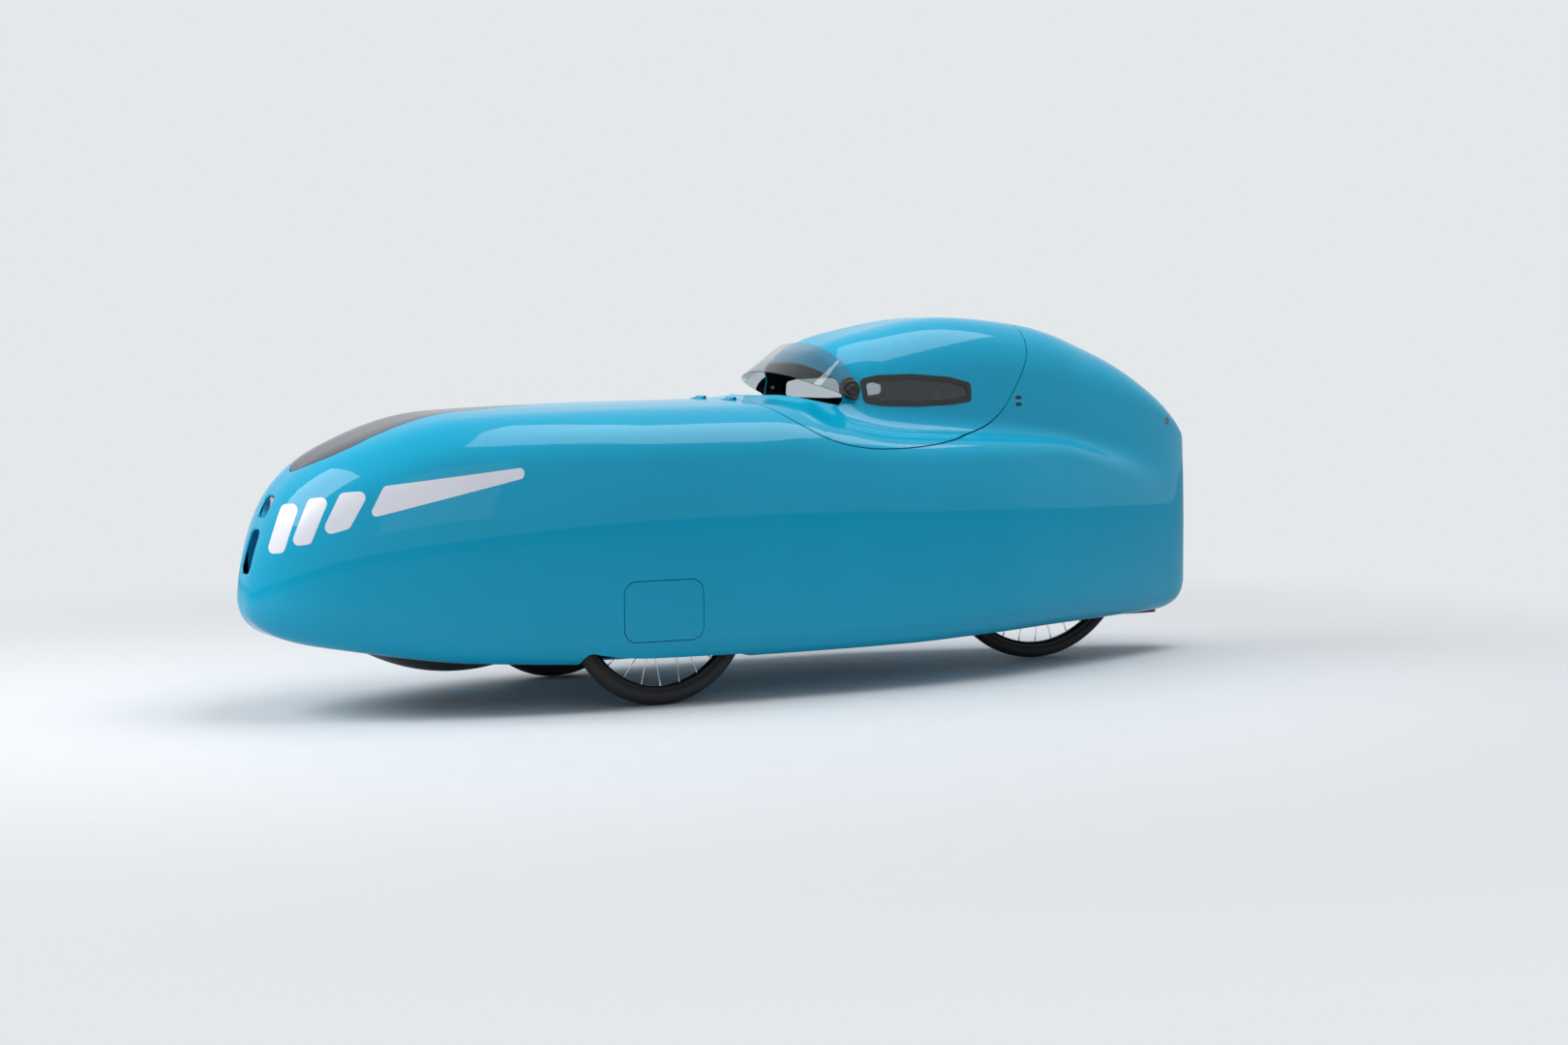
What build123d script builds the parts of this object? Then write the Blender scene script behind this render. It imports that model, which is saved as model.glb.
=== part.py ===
"""Velomobile: an enclosed three-wheel recumbent cycle, built from its separate panels and running gear.

Row frame: +X to the nose, +Y to the left, +Z up, ground at z = 0, origin under the middle of the body.
All lengths are in millimetres.
"""
from build123d import *
from math import atan2, cos, degrees, hypot, pi, radians, sin, tan
import os

os.makedirs("parts", exist_ok=True)

# Driving dimensions of the whole vehicle
NOSE_X = 1316.5
TAIL_X = -1316.5
FRONT_AXLE_X = 416.5
REAR_AXLE_X = -838.5
TRACK = 604.0
HALF_TRACK = TRACK / 2

# Body skin
WALL = 4.0
CORNER_SHARE = 0.9
LONG_SPAN = 125.0
SKIN_INSET = 1.1 * WALL
PANEL_GAP = 0.8
HOOD_GAP = 3.0
WAIST_Z = 380.0

# Body sections: place along X, then the corners of the half section, which are rounded by arcs
SECTION_COLUMNS = (
    "x", "half", "bottom", "top", "corner", "side_z",
    "shoulder_y", "shoulder_z", "valley_y", "valley_z", "crown_y",
)
SECTION_ROWS = (
    (NOSE_X, 30, 246, 290, 14, 264, 27, 276, 20, 286, 9),
    (1289.0, 98, 204, 403, 40, 300, 89, 350, 64, 390, 30),
    (1230.0, 163, 174, 522, 55, 350, 146, 438, 105, 500, 50),
    (1100.0, 243, 149, 612, 62, 405, 222, 530, 158, 594, 74),
    (850.0, 326, 117, 684, 52, 450, 302, 600, 217, 668, 100),
    (450.0, 380, 104, 697, 36, 478, 356, 622, 256, 684, 118),
    (110.0, 385, 104, 701, 36, 480, 362, 626, 262, 688, 122),
    (10.0, 385, 104, 713, 36, 478, 362, 620, 250, 684, 90),
    (-70.0, 384, 104, 785, 36, 476, 360, 612, 190, 676, 84),
    (-130.0, 382, 104, 824, 37, 474, 358, 606, 226, 650, 150),
    (-250.0, 375, 104, 864, 39, 470, 346, 596, 228, 626, 186),
    (-495.0, 342, 107, 900, 46, 462, 314, 588, 220, 612, 190),
    (-750.0, 272, 111, 880, 46, 444, 248, 574, 182, 594, 166),
    (-1000.0, 180, 112, 803, 38, 415, 168, 508, 134, 550, 118),
    (-1180.0, 102, 113, 706, 27, 390, 97, 448, 88, 510, 72),
    (-1285.0, 46, 135, 618, 18, 362, 44, 415, 41, 485, 30),
    (TAIL_X, 14, 190, 575, 8, 350, 13.4, 400, 12.4, 470, 8),
)

# Hood: the seam in side view, from its front over the low point to the roof
HOOD_SEAM = ((125, 720), (104, 685), (50, 640), (-20, 602), (-120, 582), (-220, 580), (-320, 585),
             (-440, 602), (-545, 624), (-604, 662), (-660, 735), (-705, 810), (-730, 930))
HOOD_TOP_Z = 940.0
HOOD_MIN_Y = 120.0
HINGE_X = 110.0
HINGE_Z = 703.0
HINGE_R = 5.0
HINGE_PIN_R = 2.5
HINGE_CLEAR = 3.0
HINGE_EYE_Y = (72.0, 88.0)
HINGE_LUG_Y = ((60.0, 71.5), (88.5, 100.0))
HINGE_WEB_Z = (697.8, 701.6)
HINGE_WEB_LENGTH = 20.0
REACH_X = 1500.0
REACH_Y = 450.0
REACH_Z = 1000.0
FLOOR_CUT_Z = (60.0, 200.0)
BOX_EDGE_R = 5.0

# Side windows: corner points in side view
WINDOW_CORNERS = ((-178, 754), (-330, 763), (-500, 740), (-498, 690), (-330, 677), (-182, 684))
WINDOW_CORNER_R = 14.0
WINDOW_BORDER = 13.0
WINDOW_INNER_R = 9.0

# Windscreen opening in side view and the visor that covers it
SCREEN_CORNERS = ((60, 708), (0, 711), (-118, 685), (-134, 700), (-130, 746), (-80, 788), (-40, 798), (60, 798))
SCREEN_CORNER_R = 8.0
VISOR_PIVOT_X = -152.0
VISOR_PIVOT_Z = 722.0
VISOR_PIVOT_R = 24.0
VISOR_PIVOT_Y = 216.0
VISOR_PIN_Y = 186.0
VISOR_PIN_R = 5.0
VISOR_BUSH_R = 9.0
VISOR_BUSH_Y = (190.0, 207.0)
VISOR_THICKNESS = 2.0
VISOR_DISC = 3.0
VISOR_RAISED = 19.0
VISOR_LOW_RING = (700.0, 165.0, 222.0)
VISOR_HIGH_RING = (830.0, 60.0, 180.0)
VISOR_OUTLINE = ((-176, 701), (-60, 709), (60, 728), (60, 840), (-76, 828), (-150, 752), (-174, 738))
VISOR_CORNER_R = 8.0

# Nose: leaf-shaped hatch in plan, and the slot that holds lamp and air intake
HATCH_REAR_X = 616.0
HATCH_FRONT_X = 1198.0
HATCH_HALF = 104.0
HATCH_NOSE = 150.0
HATCH_REAR_SHARE = 0.8
HATCH_NOSE_SHARE = 0.72
HATCH_LOW_Z = 480.0
SLOT_HALF = 34.0
SLOT_TOP_Z = 506.0
SLOT_BOTTOM_Z = 322.0
SLOT_BAR_Z = (430.0, 448.0)
SLOT_FLOOR_X = 1160.0
NOSE_REACH = 200.0
SLOT_R = 22.0
INSERT_X = 1165.0
INSERT_HALF = 41.0
INSERT_Z = (SLOT_BOTTOM_Z - 7, SLOT_TOP_Z + 7)
INSERT_R = 24.0
DUCT_X = 1200.0
LAMP_R = 24.0
LAMP_FRONT_X = 1243.0
LAMP_EDGE_R = 6.0

# Side access covers beside the front wheels
COVER_X = (341.5, 541.5)
COVER_Z = (157.0, 299.0)
COVER_CORNER_R = 30.0
COVER_MIN_Y = 300.0

# Wheels
FRONT_R = 235.0
FRONT_BEAD_R = 203.0
REAR_R = 307.5
REAR_BEAD_R = 279.5
RIM_DEPTH = 13.0
RIM_HALF = 10.0
TYRE_HALF = 16.0
FIT = 0.05
SEAT_GAP = 0.3

# Kingpins, stub axles and steering
KINGPIN_Y = 258.0
KINGPIN_R = 14.0
KINGPIN_Z = (150.0, 498.0)
PIVOT_R = 6.0
STUB_R = 7.5
DRUM_R = 45.0
ARM_LENGTH = 90.0
ARM_Z = 205.0
ROD_R = 5.0
EYE_R = 9.0
EYE_PIN_R = 4.0

# Wheel wells
WELL_R = 254.0
WELL_INNER_Y = 222.0
WELL_WALL = 2.5
FRONT_SLOT_HALF_X = 237.0
FRONT_SLOT_Y = (236.0, 356.0)
SLOT_CORNER_R = 30.0
WELL_FOOT_Z = 60.0
ROD_WINDOW_X = (290.0, 446.0)
ROD_WINDOW_Z = (136.0, 240.0)
REAR_WELL_R = 334.0
REAR_WELL_HALF = 62.0
REAR_SLOT_HALF = 44.0
REAR_SLOT_X = (-1098.0, -578.0)
SWING_PIVOT = (-520.0, 190.0)
SWING_PIVOT_R = 12.0
BLADE_Y = (44.0, 50.0)
BLADE_WIDTH = 24.0

# Strut mounts, lower beam and hubs
BOSS_R = 20.0
BOSS_HEIGHT = 18.0
BEAM_Z = (150.0, 164.0)
BEAM_DEPTH = 26.0
FRONT_HUB_Y = (279.0, 325.0)
DRUM_WIDTH = 17.0
HUB_R = 18.0
FLANGE_R = 26.0
FLANGE_WIDTH = 4.0
SPOKE = 2.0
FRONT_SPOKES = 24
REAR_SPOKES = 32
SPOKE_LEAN = 38.0
REAR_HUB_HALF = 34.0
REAR_FLANGE_Y = 20.0
REAR_STUB_R = 6.0
COG_ROWS = ((-33.0, 26.0), (-29.0, 32.0), (-25.0, 38.0))
COG_WIDTH = 2.0
RIM_SEAT = 0.3
CLAMP_R = 18.0
CLAMP_TOP_Z = 285.0
NUT_GAP = 0.5
NUT_WIDTH = 6.0
NUT_R = 11.0
DRUM_GAP = 1.0
PLATE_WIDTH = 3.0
ARM_THICK = 8.0
EYE_GAP = 0.5
EYE_HEIGHT = 9.0
ROD_STEP = 4.0
STRUT_GAP = 0.5
BRACKET_Y = 120.0
BRACKET_LENGTH = 60.0
FLOOR_Z = 108.6
TILLER_Z = (170.0, 232.0)
TILLER_BEND_R = 60.0
GRIP_R = 13.0
SEAT_BEND_R = 70.0

# Seat, tiller and small pieces
SEAT_LINE = ((96, 172), (-20, 122), (-120, 140), (-505, 520), (-560, 610))
SEAT_SHELL = 3.0
SEAT_HALF = 165.0
PAD = 22.0
PAD_HALF = 150.0
PAD_MARGIN = 18.0
SEAT_FEET = ((-22.0, 120.0), (-22.0, -120.0))
SEAT_FOOT = (30.0, 26.0)
TILLER_R = 11.0
TILLER_LINE = ((FRONT_AXLE_X, 238), (FRONT_AXLE_X, 330), (230, 500), (60, 540))
GRIP_Y = (25.0, 85.0)
HEEL_ARC = ((1080, 164), (872, 79), (690, 96))
HEEL_AXIS_Z = 470.0
TAIL_STRIP_X = (-1226.0, -1106.0)
TAIL_STRIP_Z = (101.0, 130.0)
TAIL_STRIP_HALF = 24.0
TAIL_STRIP_R = 20.0
TAIL_LAMP = (-1223.5, 620.0, 10.0)
VENT_SLOTS = ((-656.0, 695.0), (-656.0, 678.0))
VENT_LENGTH = 21.0
VENT_HEIGHT = 9.0


def moved_line(points, distance):
    """The corners of a line, each moved to its left side by a distance."""
    normals = []
    for here, after in zip(points, points[1:]):
        run = hypot(after[0] - here[0], after[1] - here[1])
        normals.append(((here[1] - after[1]) / run, (after[0] - here[0]) / run))
    before = [normals[0]] + normals
    behind = normals + [normals[-1]]
    moved = []
    for point, n1, n2 in zip(points, before, behind):
        share = distance / (1 + n1[0] * n2[0] + n1[1] * n2[1])
        moved.append((point[0] + share * (n1[0] + n2[0]), point[1] + share * (n1[1] + n2[1])))
    return moved


def half_points(row, inset):
    """Corners of one half section from the bottom centre to the top centre, moved inwards by inset."""
    size = dict(zip(SECTION_COLUMNS, row))
    points = [
        (0, size["bottom"]),
        (size["half"] - size["corner"], size["bottom"]),
        (size["half"], size["bottom"] + size["corner"]),
        (size["half"], size["side_z"]),
        (size["shoulder_y"], size["shoulder_z"]),
        (size["valley_y"], size["valley_z"]),
        (size["crown_y"], size["top"]),
        (0, size["top"]),
    ]
    return moved_line(points, inset)


def blended_rows(rows):
    """The table's rows, with one more row in each long span, on a smooth curve through all of them."""
    result = []
    for i, (row, following) in enumerate(zip(rows, rows[1:])):
        before = rows[i - 1] if i > 0 else tuple(2 * a - b for a, b in zip(row, following))
        after = rows[i + 2] if i + 2 < len(rows) else tuple(2 * b - a for a, b in zip(row, following))
        middle = tuple(
            (a + b) / 2 + (b - p - (n - a)) / 16
            for p, a, b, n in zip(before, row, following, after)
        )
        result.append(row)
        if row[0] - following[0] > LONG_SPAN:
            result.append(middle)
    return result + [rows[-1]]


def corner_radii(points):
    """Radius of each inner corner, as large as the shorter of its two runs allows."""
    result = []
    last = len(points) - 2
    for i in range(1, last + 1):
        before, here, after = points[i - 1], points[i], points[i + 1]
        run_in = (here[0] - before[0], here[1] - before[1])
        run_out = (after[0] - here[0], after[1] - here[1])
        free_in = hypot(*run_in) * (1 if i == 1 else 0.5)
        free_out = hypot(*run_out) * (1 if i == last else 0.5)
        cross = run_in[0] * run_out[1] - run_in[1] * run_out[0]
        along = run_in[0] * run_out[0] + run_in[1] * run_out[1]
        turn = abs(atan2(cross, along))
        result.append(CORNER_SHARE * min(free_in, free_out) / tan(turn / 2))
    return result


def half_section(row, inset):
    """Closed half section of the body at one place along X."""
    points = half_points(row, inset)
    with BuildSketch(Plane.YZ.offset(row[0])) as sketch:
        with BuildLine():
            FilletPolyline(*points, radius=corner_radii(points))
            Line(points[-1], points[0])
        make_face()
    return sketch.sketch


# Outer and inner form of the left half of the body
body_rows = blended_rows(SECTION_ROWS)
with BuildPart() as outer_half:
    loft(sections=[half_section(row, 0) for row in body_rows], ruled=True)

with BuildPart() as inner_half:
    loft(sections=[half_section(row, SKIN_INSET) for row in body_rows[1:-1]], ruled=True)

# Left half of the skin
with BuildPart() as skin_half:
    add(outer_half.part)
    add(inner_half.part, mode=Mode.SUBTRACT)


def side_prism(points, radii, low_y, high_y):
    """Solid with a rounded outline in side view, between two places along Y."""
    with BuildPart() as prism:
        with BuildSketch(Plane.XZ.offset(-low_y)):
            with BuildLine():
                FilletPolyline(*points, radius=radii, close=True)
            make_face()
        extrude(amount=low_y - high_y)
    return prism.part


def plan_box(x_range, y_range, z_range, radius):
    """Upright box with rounded upright edges."""
    with BuildPart() as box:
        with BuildSketch(Plane.XY.offset(z_range[0])):
            with Locations(((x_range[0] + x_range[1]) / 2, (y_range[0] + y_range[1]) / 2)):
                RectangleRounded(x_range[1] - x_range[0], y_range[1] - y_range[0], radius)
        extrude(amount=z_range[1] - z_range[0])
    return box.part


def side_box(x_range, z_range, radius, low_y, high_y):
    """Box with a rounded rectangle as its side view, between two places along Y."""
    with BuildPart() as box:
        with BuildSketch(Plane.XZ.offset(-low_y)):
            with Locations(((x_range[0] + x_range[1]) / 2, (z_range[0] + z_range[1]) / 2)):
                RectangleRounded(x_range[1] - x_range[0], z_range[1] - z_range[0], radius)
        extrude(amount=low_y - high_y)
    return box.part


def arch(axle_x, axle_z, radius, low_y, high_y):
    """Wheel arch as a solid: a half disc over a block that runs down through the floor."""
    with BuildPart() as solid:
        with BuildSketch(Plane.XZ.offset(-low_y)):
            with Locations((axle_x, axle_z)):
                Circle(radius)
            with Locations((axle_x, (axle_z + WELL_FOOT_Z) / 2)):
                Rectangle(2 * radius, axle_z - WELL_FOOT_Z)
        extrude(amount=low_y - high_y)
    return solid.part


def hood_region(gap):
    """All that lies above the hood's seam in side view, held back from it by a gap."""
    seam = moved_line(HOOD_SEAM, -gap)
    with BuildPart() as region:
        with BuildSketch(Plane.XZ.offset(-REACH_Y)):
            with BuildLine():
                FilletPolyline(*seam, radius=corner_radii(seam))
                Polyline(seam[-1], (seam[-1][0], HOOD_TOP_Z), (seam[0][0], HOOD_TOP_Z), seam[0])
            make_face()
        extrude(amount=2 * REACH_Y)
    return region.part


def hatch_prism(gap):
    """Leaf-shaped outline of the nose hatch in plan, held back by a gap."""
    half = HATCH_HALF - gap
    rear = HATCH_REAR_X + gap
    front = HATCH_FRONT_X - gap
    widest = HATCH_FRONT_X - HATCH_NOSE
    with BuildPart() as prism:
        with BuildSketch(Plane.XY.offset(HATCH_LOW_Z)):
            with BuildLine():
                ThreePointArc((rear, 0), ((rear + widest) / 2, half * HATCH_REAR_SHARE), (widest, half))
                ThreePointArc((widest, half), (widest + HATCH_NOSE_SHARE * (front - widest), half * HATCH_NOSE_SHARE), (front, 0))
                Line((front, 0), (rear, 0))
            make_face()
        extrude(amount=REACH_Z - HATCH_LOW_Z)
    return prism.part


def cross_bar(x, z, radius, low_y, high_y):
    """Round bar along Y between two places."""
    with BuildPart() as bar:
        with BuildSketch(Plane.XZ.offset(-low_y)):
            with Locations((x, z)):
                Circle(radius)
        extrude(amount=low_y - high_y)
    return bar.part


def hinge_leaf(side, y_range):
    """Barrel of the hood's hinge with the web that joins it to the skin before or behind it."""
    web_z = sum(HINGE_WEB_Z) / 2
    with BuildPart() as leaf:
        add(cross_bar(HINGE_X, HINGE_Z, HINGE_R, *y_range))
        with BuildSketch(Plane.XZ.offset(-y_range[0])):
            with Locations((HINGE_X + side * HINGE_WEB_LENGTH / 2, web_z)):
                Rectangle(HINGE_WEB_LENGTH, HINGE_WEB_Z[1] - HINGE_WEB_Z[0])
        extrude(amount=y_range[0] - y_range[1])
    return leaf.part


def finish(part, label):
    """Names a finished piece and writes it."""
    part.label = label
    export_step(part, f"parts/{label}.step")


def both_sides(part):
    """A piece and its mirror image about the middle plane, joined where they meet."""
    with BuildPart() as pair:
        add(part)
        mirror(about=Plane.XZ)
    return pair.part


# Openings in the left half of the skin
window_radii = [WINDOW_CORNER_R] * len(WINDOW_CORNERS)
window_prism = side_prism(WINDOW_CORNERS, window_radii, HOOD_MIN_Y, REACH_Y)
screen_prism = side_prism(SCREEN_CORNERS, [SCREEN_CORNER_R] * len(SCREEN_CORNERS), -BOX_EDGE_R, REACH_Y)
cover_prism = side_box(COVER_X, COVER_Z, COVER_CORNER_R, COVER_MIN_Y, REACH_Y)
front_slot = plan_box(
    (FRONT_AXLE_X - FRONT_SLOT_HALF_X, FRONT_AXLE_X + FRONT_SLOT_HALF_X), FRONT_SLOT_Y, FLOOR_CUT_Z, SLOT_CORNER_R)
rear_slot = plan_box(REAR_SLOT_X, (-REAR_SLOT_HALF, REAR_SLOT_HALF), FLOOR_CUT_Z, SLOT_CORNER_R)
above_waist = plan_box((-REACH_X, REACH_X), (-REACH_Y, REACH_Y), (WAIST_Z, REACH_Z), BOX_EDGE_R)

with BuildPart() as upper_half:
    add(skin_half.part)
    add(above_waist, mode=Mode.INTERSECT)

with BuildPart() as lower_half:
    add(skin_half.part)
    add(above_waist, mode=Mode.SUBTRACT)
    add(front_slot, mode=Mode.SUBTRACT)
    add(rear_slot, mode=Mode.SUBTRACT)
    add(cover_prism, mode=Mode.SUBTRACT)


# Holes for the nose slot, tail lamps, side vents and visor pins
lamp_x, lamp_z, lamp_r = TAIL_LAMP
tail_lamp_hole = cross_bar(lamp_x, lamp_z, lamp_r + PANEL_GAP / 2, 0, REACH_Y)
visor_bush_seat = cross_bar(VISOR_PIVOT_X, VISOR_PIVOT_Z, VISOR_BUSH_R, HOOD_MIN_Y, REACH_Y)
with BuildPart() as vent_hole:
    with BuildSketch(Plane.XZ):
        with Locations(*VENT_SLOTS):
            SlotOverall(VENT_LENGTH, VENT_HEIGHT)
    extrude(amount=-REACH_Y)
with BuildPart() as nose_slot:
    with BuildSketch(Plane.YZ.offset(SLOT_FLOOR_X)):
        with Locations((0, (SLOT_BAR_Z[1] + SLOT_TOP_Z) / 2)):
            RectangleRounded(2 * SLOT_HALF, SLOT_TOP_Z - SLOT_BAR_Z[1], SLOT_R)
        with Locations((0, (SLOT_BAR_Z[0] + SLOT_BOTTOM_Z) / 2)):
            RectangleRounded(2 * SLOT_HALF, SLOT_BAR_Z[0] - SLOT_BOTTOM_Z, SLOT_R)
    extrude(amount=NOSE_REACH)

# Hood, deck and tub: each is cut from the left half of the skin and mirrored
hinge_space = cross_bar(HINGE_X, HINGE_Z, HINGE_R + HINGE_CLEAR, HINGE_LUG_Y[0][0] - 1, HINGE_LUG_Y[1][1] + 1)
with BuildPart() as hood_half:
    add(upper_half.part)
    add(hood_region(HOOD_GAP), mode=Mode.INTERSECT)
    add(window_prism, mode=Mode.SUBTRACT)
    add(screen_prism, mode=Mode.SUBTRACT)
    add(hinge_space, mode=Mode.SUBTRACT)
    add(hinge_leaf(-1, HINGE_EYE_Y), mode=Mode.SUBTRACT)
    add(visor_bush_seat, mode=Mode.SUBTRACT)

with BuildPart() as deck_half:
    add(upper_half.part)
    add(hood_region(0), mode=Mode.SUBTRACT)
    add(hatch_prism(0), mode=Mode.SUBTRACT)
    add(nose_slot.part, mode=Mode.SUBTRACT)
    add(tail_lamp_hole, mode=Mode.SUBTRACT)
    add(vent_hole.part, mode=Mode.SUBTRACT)
    add(hinge_space, mode=Mode.SUBTRACT)
    for lug_y in HINGE_LUG_Y:
        add(hinge_leaf(1, lug_y))
    add(cross_bar(HINGE_X, HINGE_Z, HINGE_PIN_R, HINGE_LUG_Y[0][0], HINGE_LUG_Y[1][1]))

with BuildPart() as tub_half:
    add(lower_half.part)
    add(nose_slot.part, mode=Mode.SUBTRACT)

with BuildPart() as hinge_eye:
    add(hinge_leaf(-1, HINGE_EYE_Y))
    add(cross_bar(HINGE_X, HINGE_Z, HINGE_PIN_R + FIT, *HINGE_EYE_Y), mode=Mode.SUBTRACT)

with BuildPart() as visor_bush:
    add(cross_bar(VISOR_PIVOT_X, VISOR_PIVOT_Z, VISOR_BUSH_R, *VISOR_BUSH_Y))
    add(cross_bar(VISOR_PIVOT_X, VISOR_PIVOT_Z, VISOR_PIN_R + FIT, *VISOR_BUSH_Y), mode=Mode.SUBTRACT)
finish(visor_bush.part, "visor_bush_left")
finish(mirror(visor_bush.part, about=Plane.XZ), "visor_bush_right")

finish(both_sides(hood_half.part), "hood")
finish(both_sides(hinge_eye.part), "hinge_eyes")
finish(both_sides(deck_half.part), "body_deck")
finish(both_sides(tub_half.part), "body_tub")

# Nose hatch and side access covers, cut from the same skin
with BuildPart() as nose_hatch:
    add(upper_half.part)
    add(hatch_prism(PANEL_GAP), mode=Mode.INTERSECT)
finish(both_sides(nose_hatch.part), "nose_hatch")

cover_inner = side_box(
    (COVER_X[0] + PANEL_GAP, COVER_X[1] - PANEL_GAP), (COVER_Z[0] + PANEL_GAP, COVER_Z[1] - PANEL_GAP),
    COVER_CORNER_R - PANEL_GAP, COVER_MIN_Y, REACH_Y)
with BuildPart() as access_cover_left:
    add(skin_half.part)
    add(cover_inner, mode=Mode.INTERSECT)
finish(access_cover_left.part, "access_cover_left")
finish(mirror(access_cover_left.part, about=Plane.XZ), "access_cover_right")


def inset_ring(points, distance):
    """The corners of a closed outline, moved inwards by a distance."""
    ring = (points[-1],) + tuple(points) + (points[0],)
    return moved_line(ring, distance)[1:-1]


# Window panes and their black frames, in the plane of the hood's skin
frame_ring = inset_ring(WINDOW_CORNERS, PANEL_GAP / 2)
opening_ring = inset_ring(WINDOW_CORNERS, WINDOW_BORDER)
pane_ring = inset_ring(WINDOW_CORNERS, WINDOW_BORDER + SEAT_GAP)
pane_radii = [WINDOW_INNER_R] * len(WINDOW_CORNERS)
with BuildPart() as window_frame_half:
    add(upper_half.part)
    add(side_prism(frame_ring, window_radii, HOOD_MIN_Y, REACH_Y), mode=Mode.INTERSECT)
    add(side_prism(opening_ring, pane_radii, HOOD_MIN_Y, REACH_Y), mode=Mode.SUBTRACT)
with BuildPart() as window_pane_half:
    add(upper_half.part)
    add(side_prism(pane_ring, pane_radii, HOOD_MIN_Y, REACH_Y), mode=Mode.INTERSECT)
for side, half in (("left", 1), ("right", -1)):
    for name, piece in (("window_frame", window_frame_half.part), ("window_pane", window_pane_half.part)):
        finish(piece if half > 0 else mirror(piece, about=Plane.XZ), f"{name}_{side}")


def visor_cone(inset):
    """Cone with elliptical rings that the visor's sheet follows."""
    with BuildPart() as cone:
        for height, along, across in (VISOR_LOW_RING, VISOR_HIGH_RING):
            with BuildSketch(Plane.XY.offset(height)):
                with Locations((VISOR_PIVOT_X, 0)):
                    Ellipse(along - inset, across - inset)
        loft()
    return cone.part


# Visor: a bent clear sheet with a round boss and a pin at each end, raised as it is parked
with BuildPart() as visor_sheet:
    add(visor_cone(0))
    add(visor_cone(VISOR_THICKNESS), mode=Mode.SUBTRACT)
    add(side_prism(VISOR_OUTLINE, [VISOR_CORNER_R] * len(VISOR_OUTLINE), -REACH_Y, REACH_Y), mode=Mode.INTERSECT)
with BuildPart() as visor:
    add(visor_sheet.part)
    for side in (1, -1):
        with BuildSketch(Plane.XZ.offset(-side * (VISOR_PIVOT_Y - VISOR_DISC))):
            with Locations((VISOR_PIVOT_X, VISOR_PIVOT_Z)):
                Circle(VISOR_PIVOT_R)
        extrude(amount=-side * VISOR_DISC)
        with BuildSketch(Plane.XZ.offset(-side * VISOR_PIN_Y)):
            with Locations((VISOR_PIVOT_X, VISOR_PIVOT_Z)):
                Circle(VISOR_PIN_R)
        extrude(amount=-side * (VISOR_PIVOT_Y - VISOR_PIN_Y))
visor_axis = Axis((VISOR_PIVOT_X, 0, VISOR_PIVOT_Z), (0, -1, 0))
finish(visor.part.rotate(visor_axis, VISOR_RAISED), "visor")


# Nose insert behind the slot, with the lamp in its upper bay
lamp_centre_z = (SLOT_BAR_Z[1] + SLOT_TOP_Z) / 2
with BuildPart() as insert_half:
    with BuildSketch(Plane.YZ.offset(INSERT_X)):
        with Locations((0, sum(INSERT_Z) / 2)):
            RectangleRounded(2 * INSERT_HALF, INSERT_Z[1] - INSERT_Z[0], INSERT_R)
    extrude(amount=NOSE_REACH)
    add(inner_half.part, mode=Mode.INTERSECT)
    with BuildSketch(Plane.YZ.offset(DUCT_X)):
        with Locations((0, (SLOT_BAR_Z[0] + SLOT_BOTTOM_Z) / 2)):
            RectangleRounded(2 * SLOT_HALF, SLOT_BAR_Z[0] - SLOT_BOTTOM_Z, SLOT_R)
        with Locations((0, lamp_centre_z)):
            Circle(LAMP_R + SEAT_GAP)
    extrude(amount=NOSE_REACH, mode=Mode.SUBTRACT)
finish(both_sides(insert_half.part), "nose_insert")

with BuildPart() as headlamp:
    with BuildSketch(Plane.YZ.offset(DUCT_X + SEAT_GAP)):
        with Locations((0, lamp_centre_z)):
            Circle(LAMP_R)
    extrude(amount=LAMP_FRONT_X - DUCT_X)
    fillet(headlamp.faces().sort_by(Axis.X)[-1].edges(), LAMP_EDGE_R)
finish(headlamp.part, "headlamp")


# Plugs in the tail lamp holes and the side vents, as thick as the skin
with BuildPart() as tail_lamp_half:
    with BuildSketch(Plane.XZ):
        with Locations((lamp_x, lamp_z)):
            Circle(lamp_r)
    extrude(amount=-REACH_Y)
    add(upper_half.part, mode=Mode.INTERSECT)
finish(both_sides(tail_lamp_half.part), "tail_lamps")
with BuildPart() as side_vent_half:
    with BuildSketch(Plane.XZ):
        with Locations(*VENT_SLOTS):
            SlotOverall(VENT_LENGTH - PANEL_GAP, VENT_HEIGHT - PANEL_GAP)
    extrude(amount=-REACH_Y)
    add(upper_half.part, mode=Mode.INTERSECT)
finish(both_sides(side_vent_half.part), "side_vents")


# Heel blister under the nose and the black strip under the tail, both against the skin
left_floor = plan_box((-REACH_X, REACH_X), (0, REACH_Y), FLOOR_CUT_Z, BOX_EDGE_R)
with BuildPart() as blister_half:
    with BuildSketch(Plane.XZ):
        with BuildLine():
            ThreePointArc(*HEEL_ARC)
            Polyline(HEEL_ARC[2], (HEEL_ARC[2][0], HEEL_AXIS_Z), (HEEL_ARC[0][0], HEEL_AXIS_Z), HEEL_ARC[0])
        make_face()
    revolve(axis=Axis((0, 0, HEEL_AXIS_Z), (1, 0, 0)))
    add(left_floor, mode=Mode.INTERSECT)
    add(outer_half.part, mode=Mode.SUBTRACT)
finish(both_sides(blister_half.part), "heel_blister")

with BuildPart() as strip_half:
    add(plan_box(TAIL_STRIP_X, (-TAIL_STRIP_HALF, TAIL_STRIP_HALF), TAIL_STRIP_Z, TAIL_STRIP_R))
    add(left_floor, mode=Mode.INTERSECT)
    add(outer_half.part, mode=Mode.SUBTRACT)
finish(both_sides(strip_half.part), "tail_strip")


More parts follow.
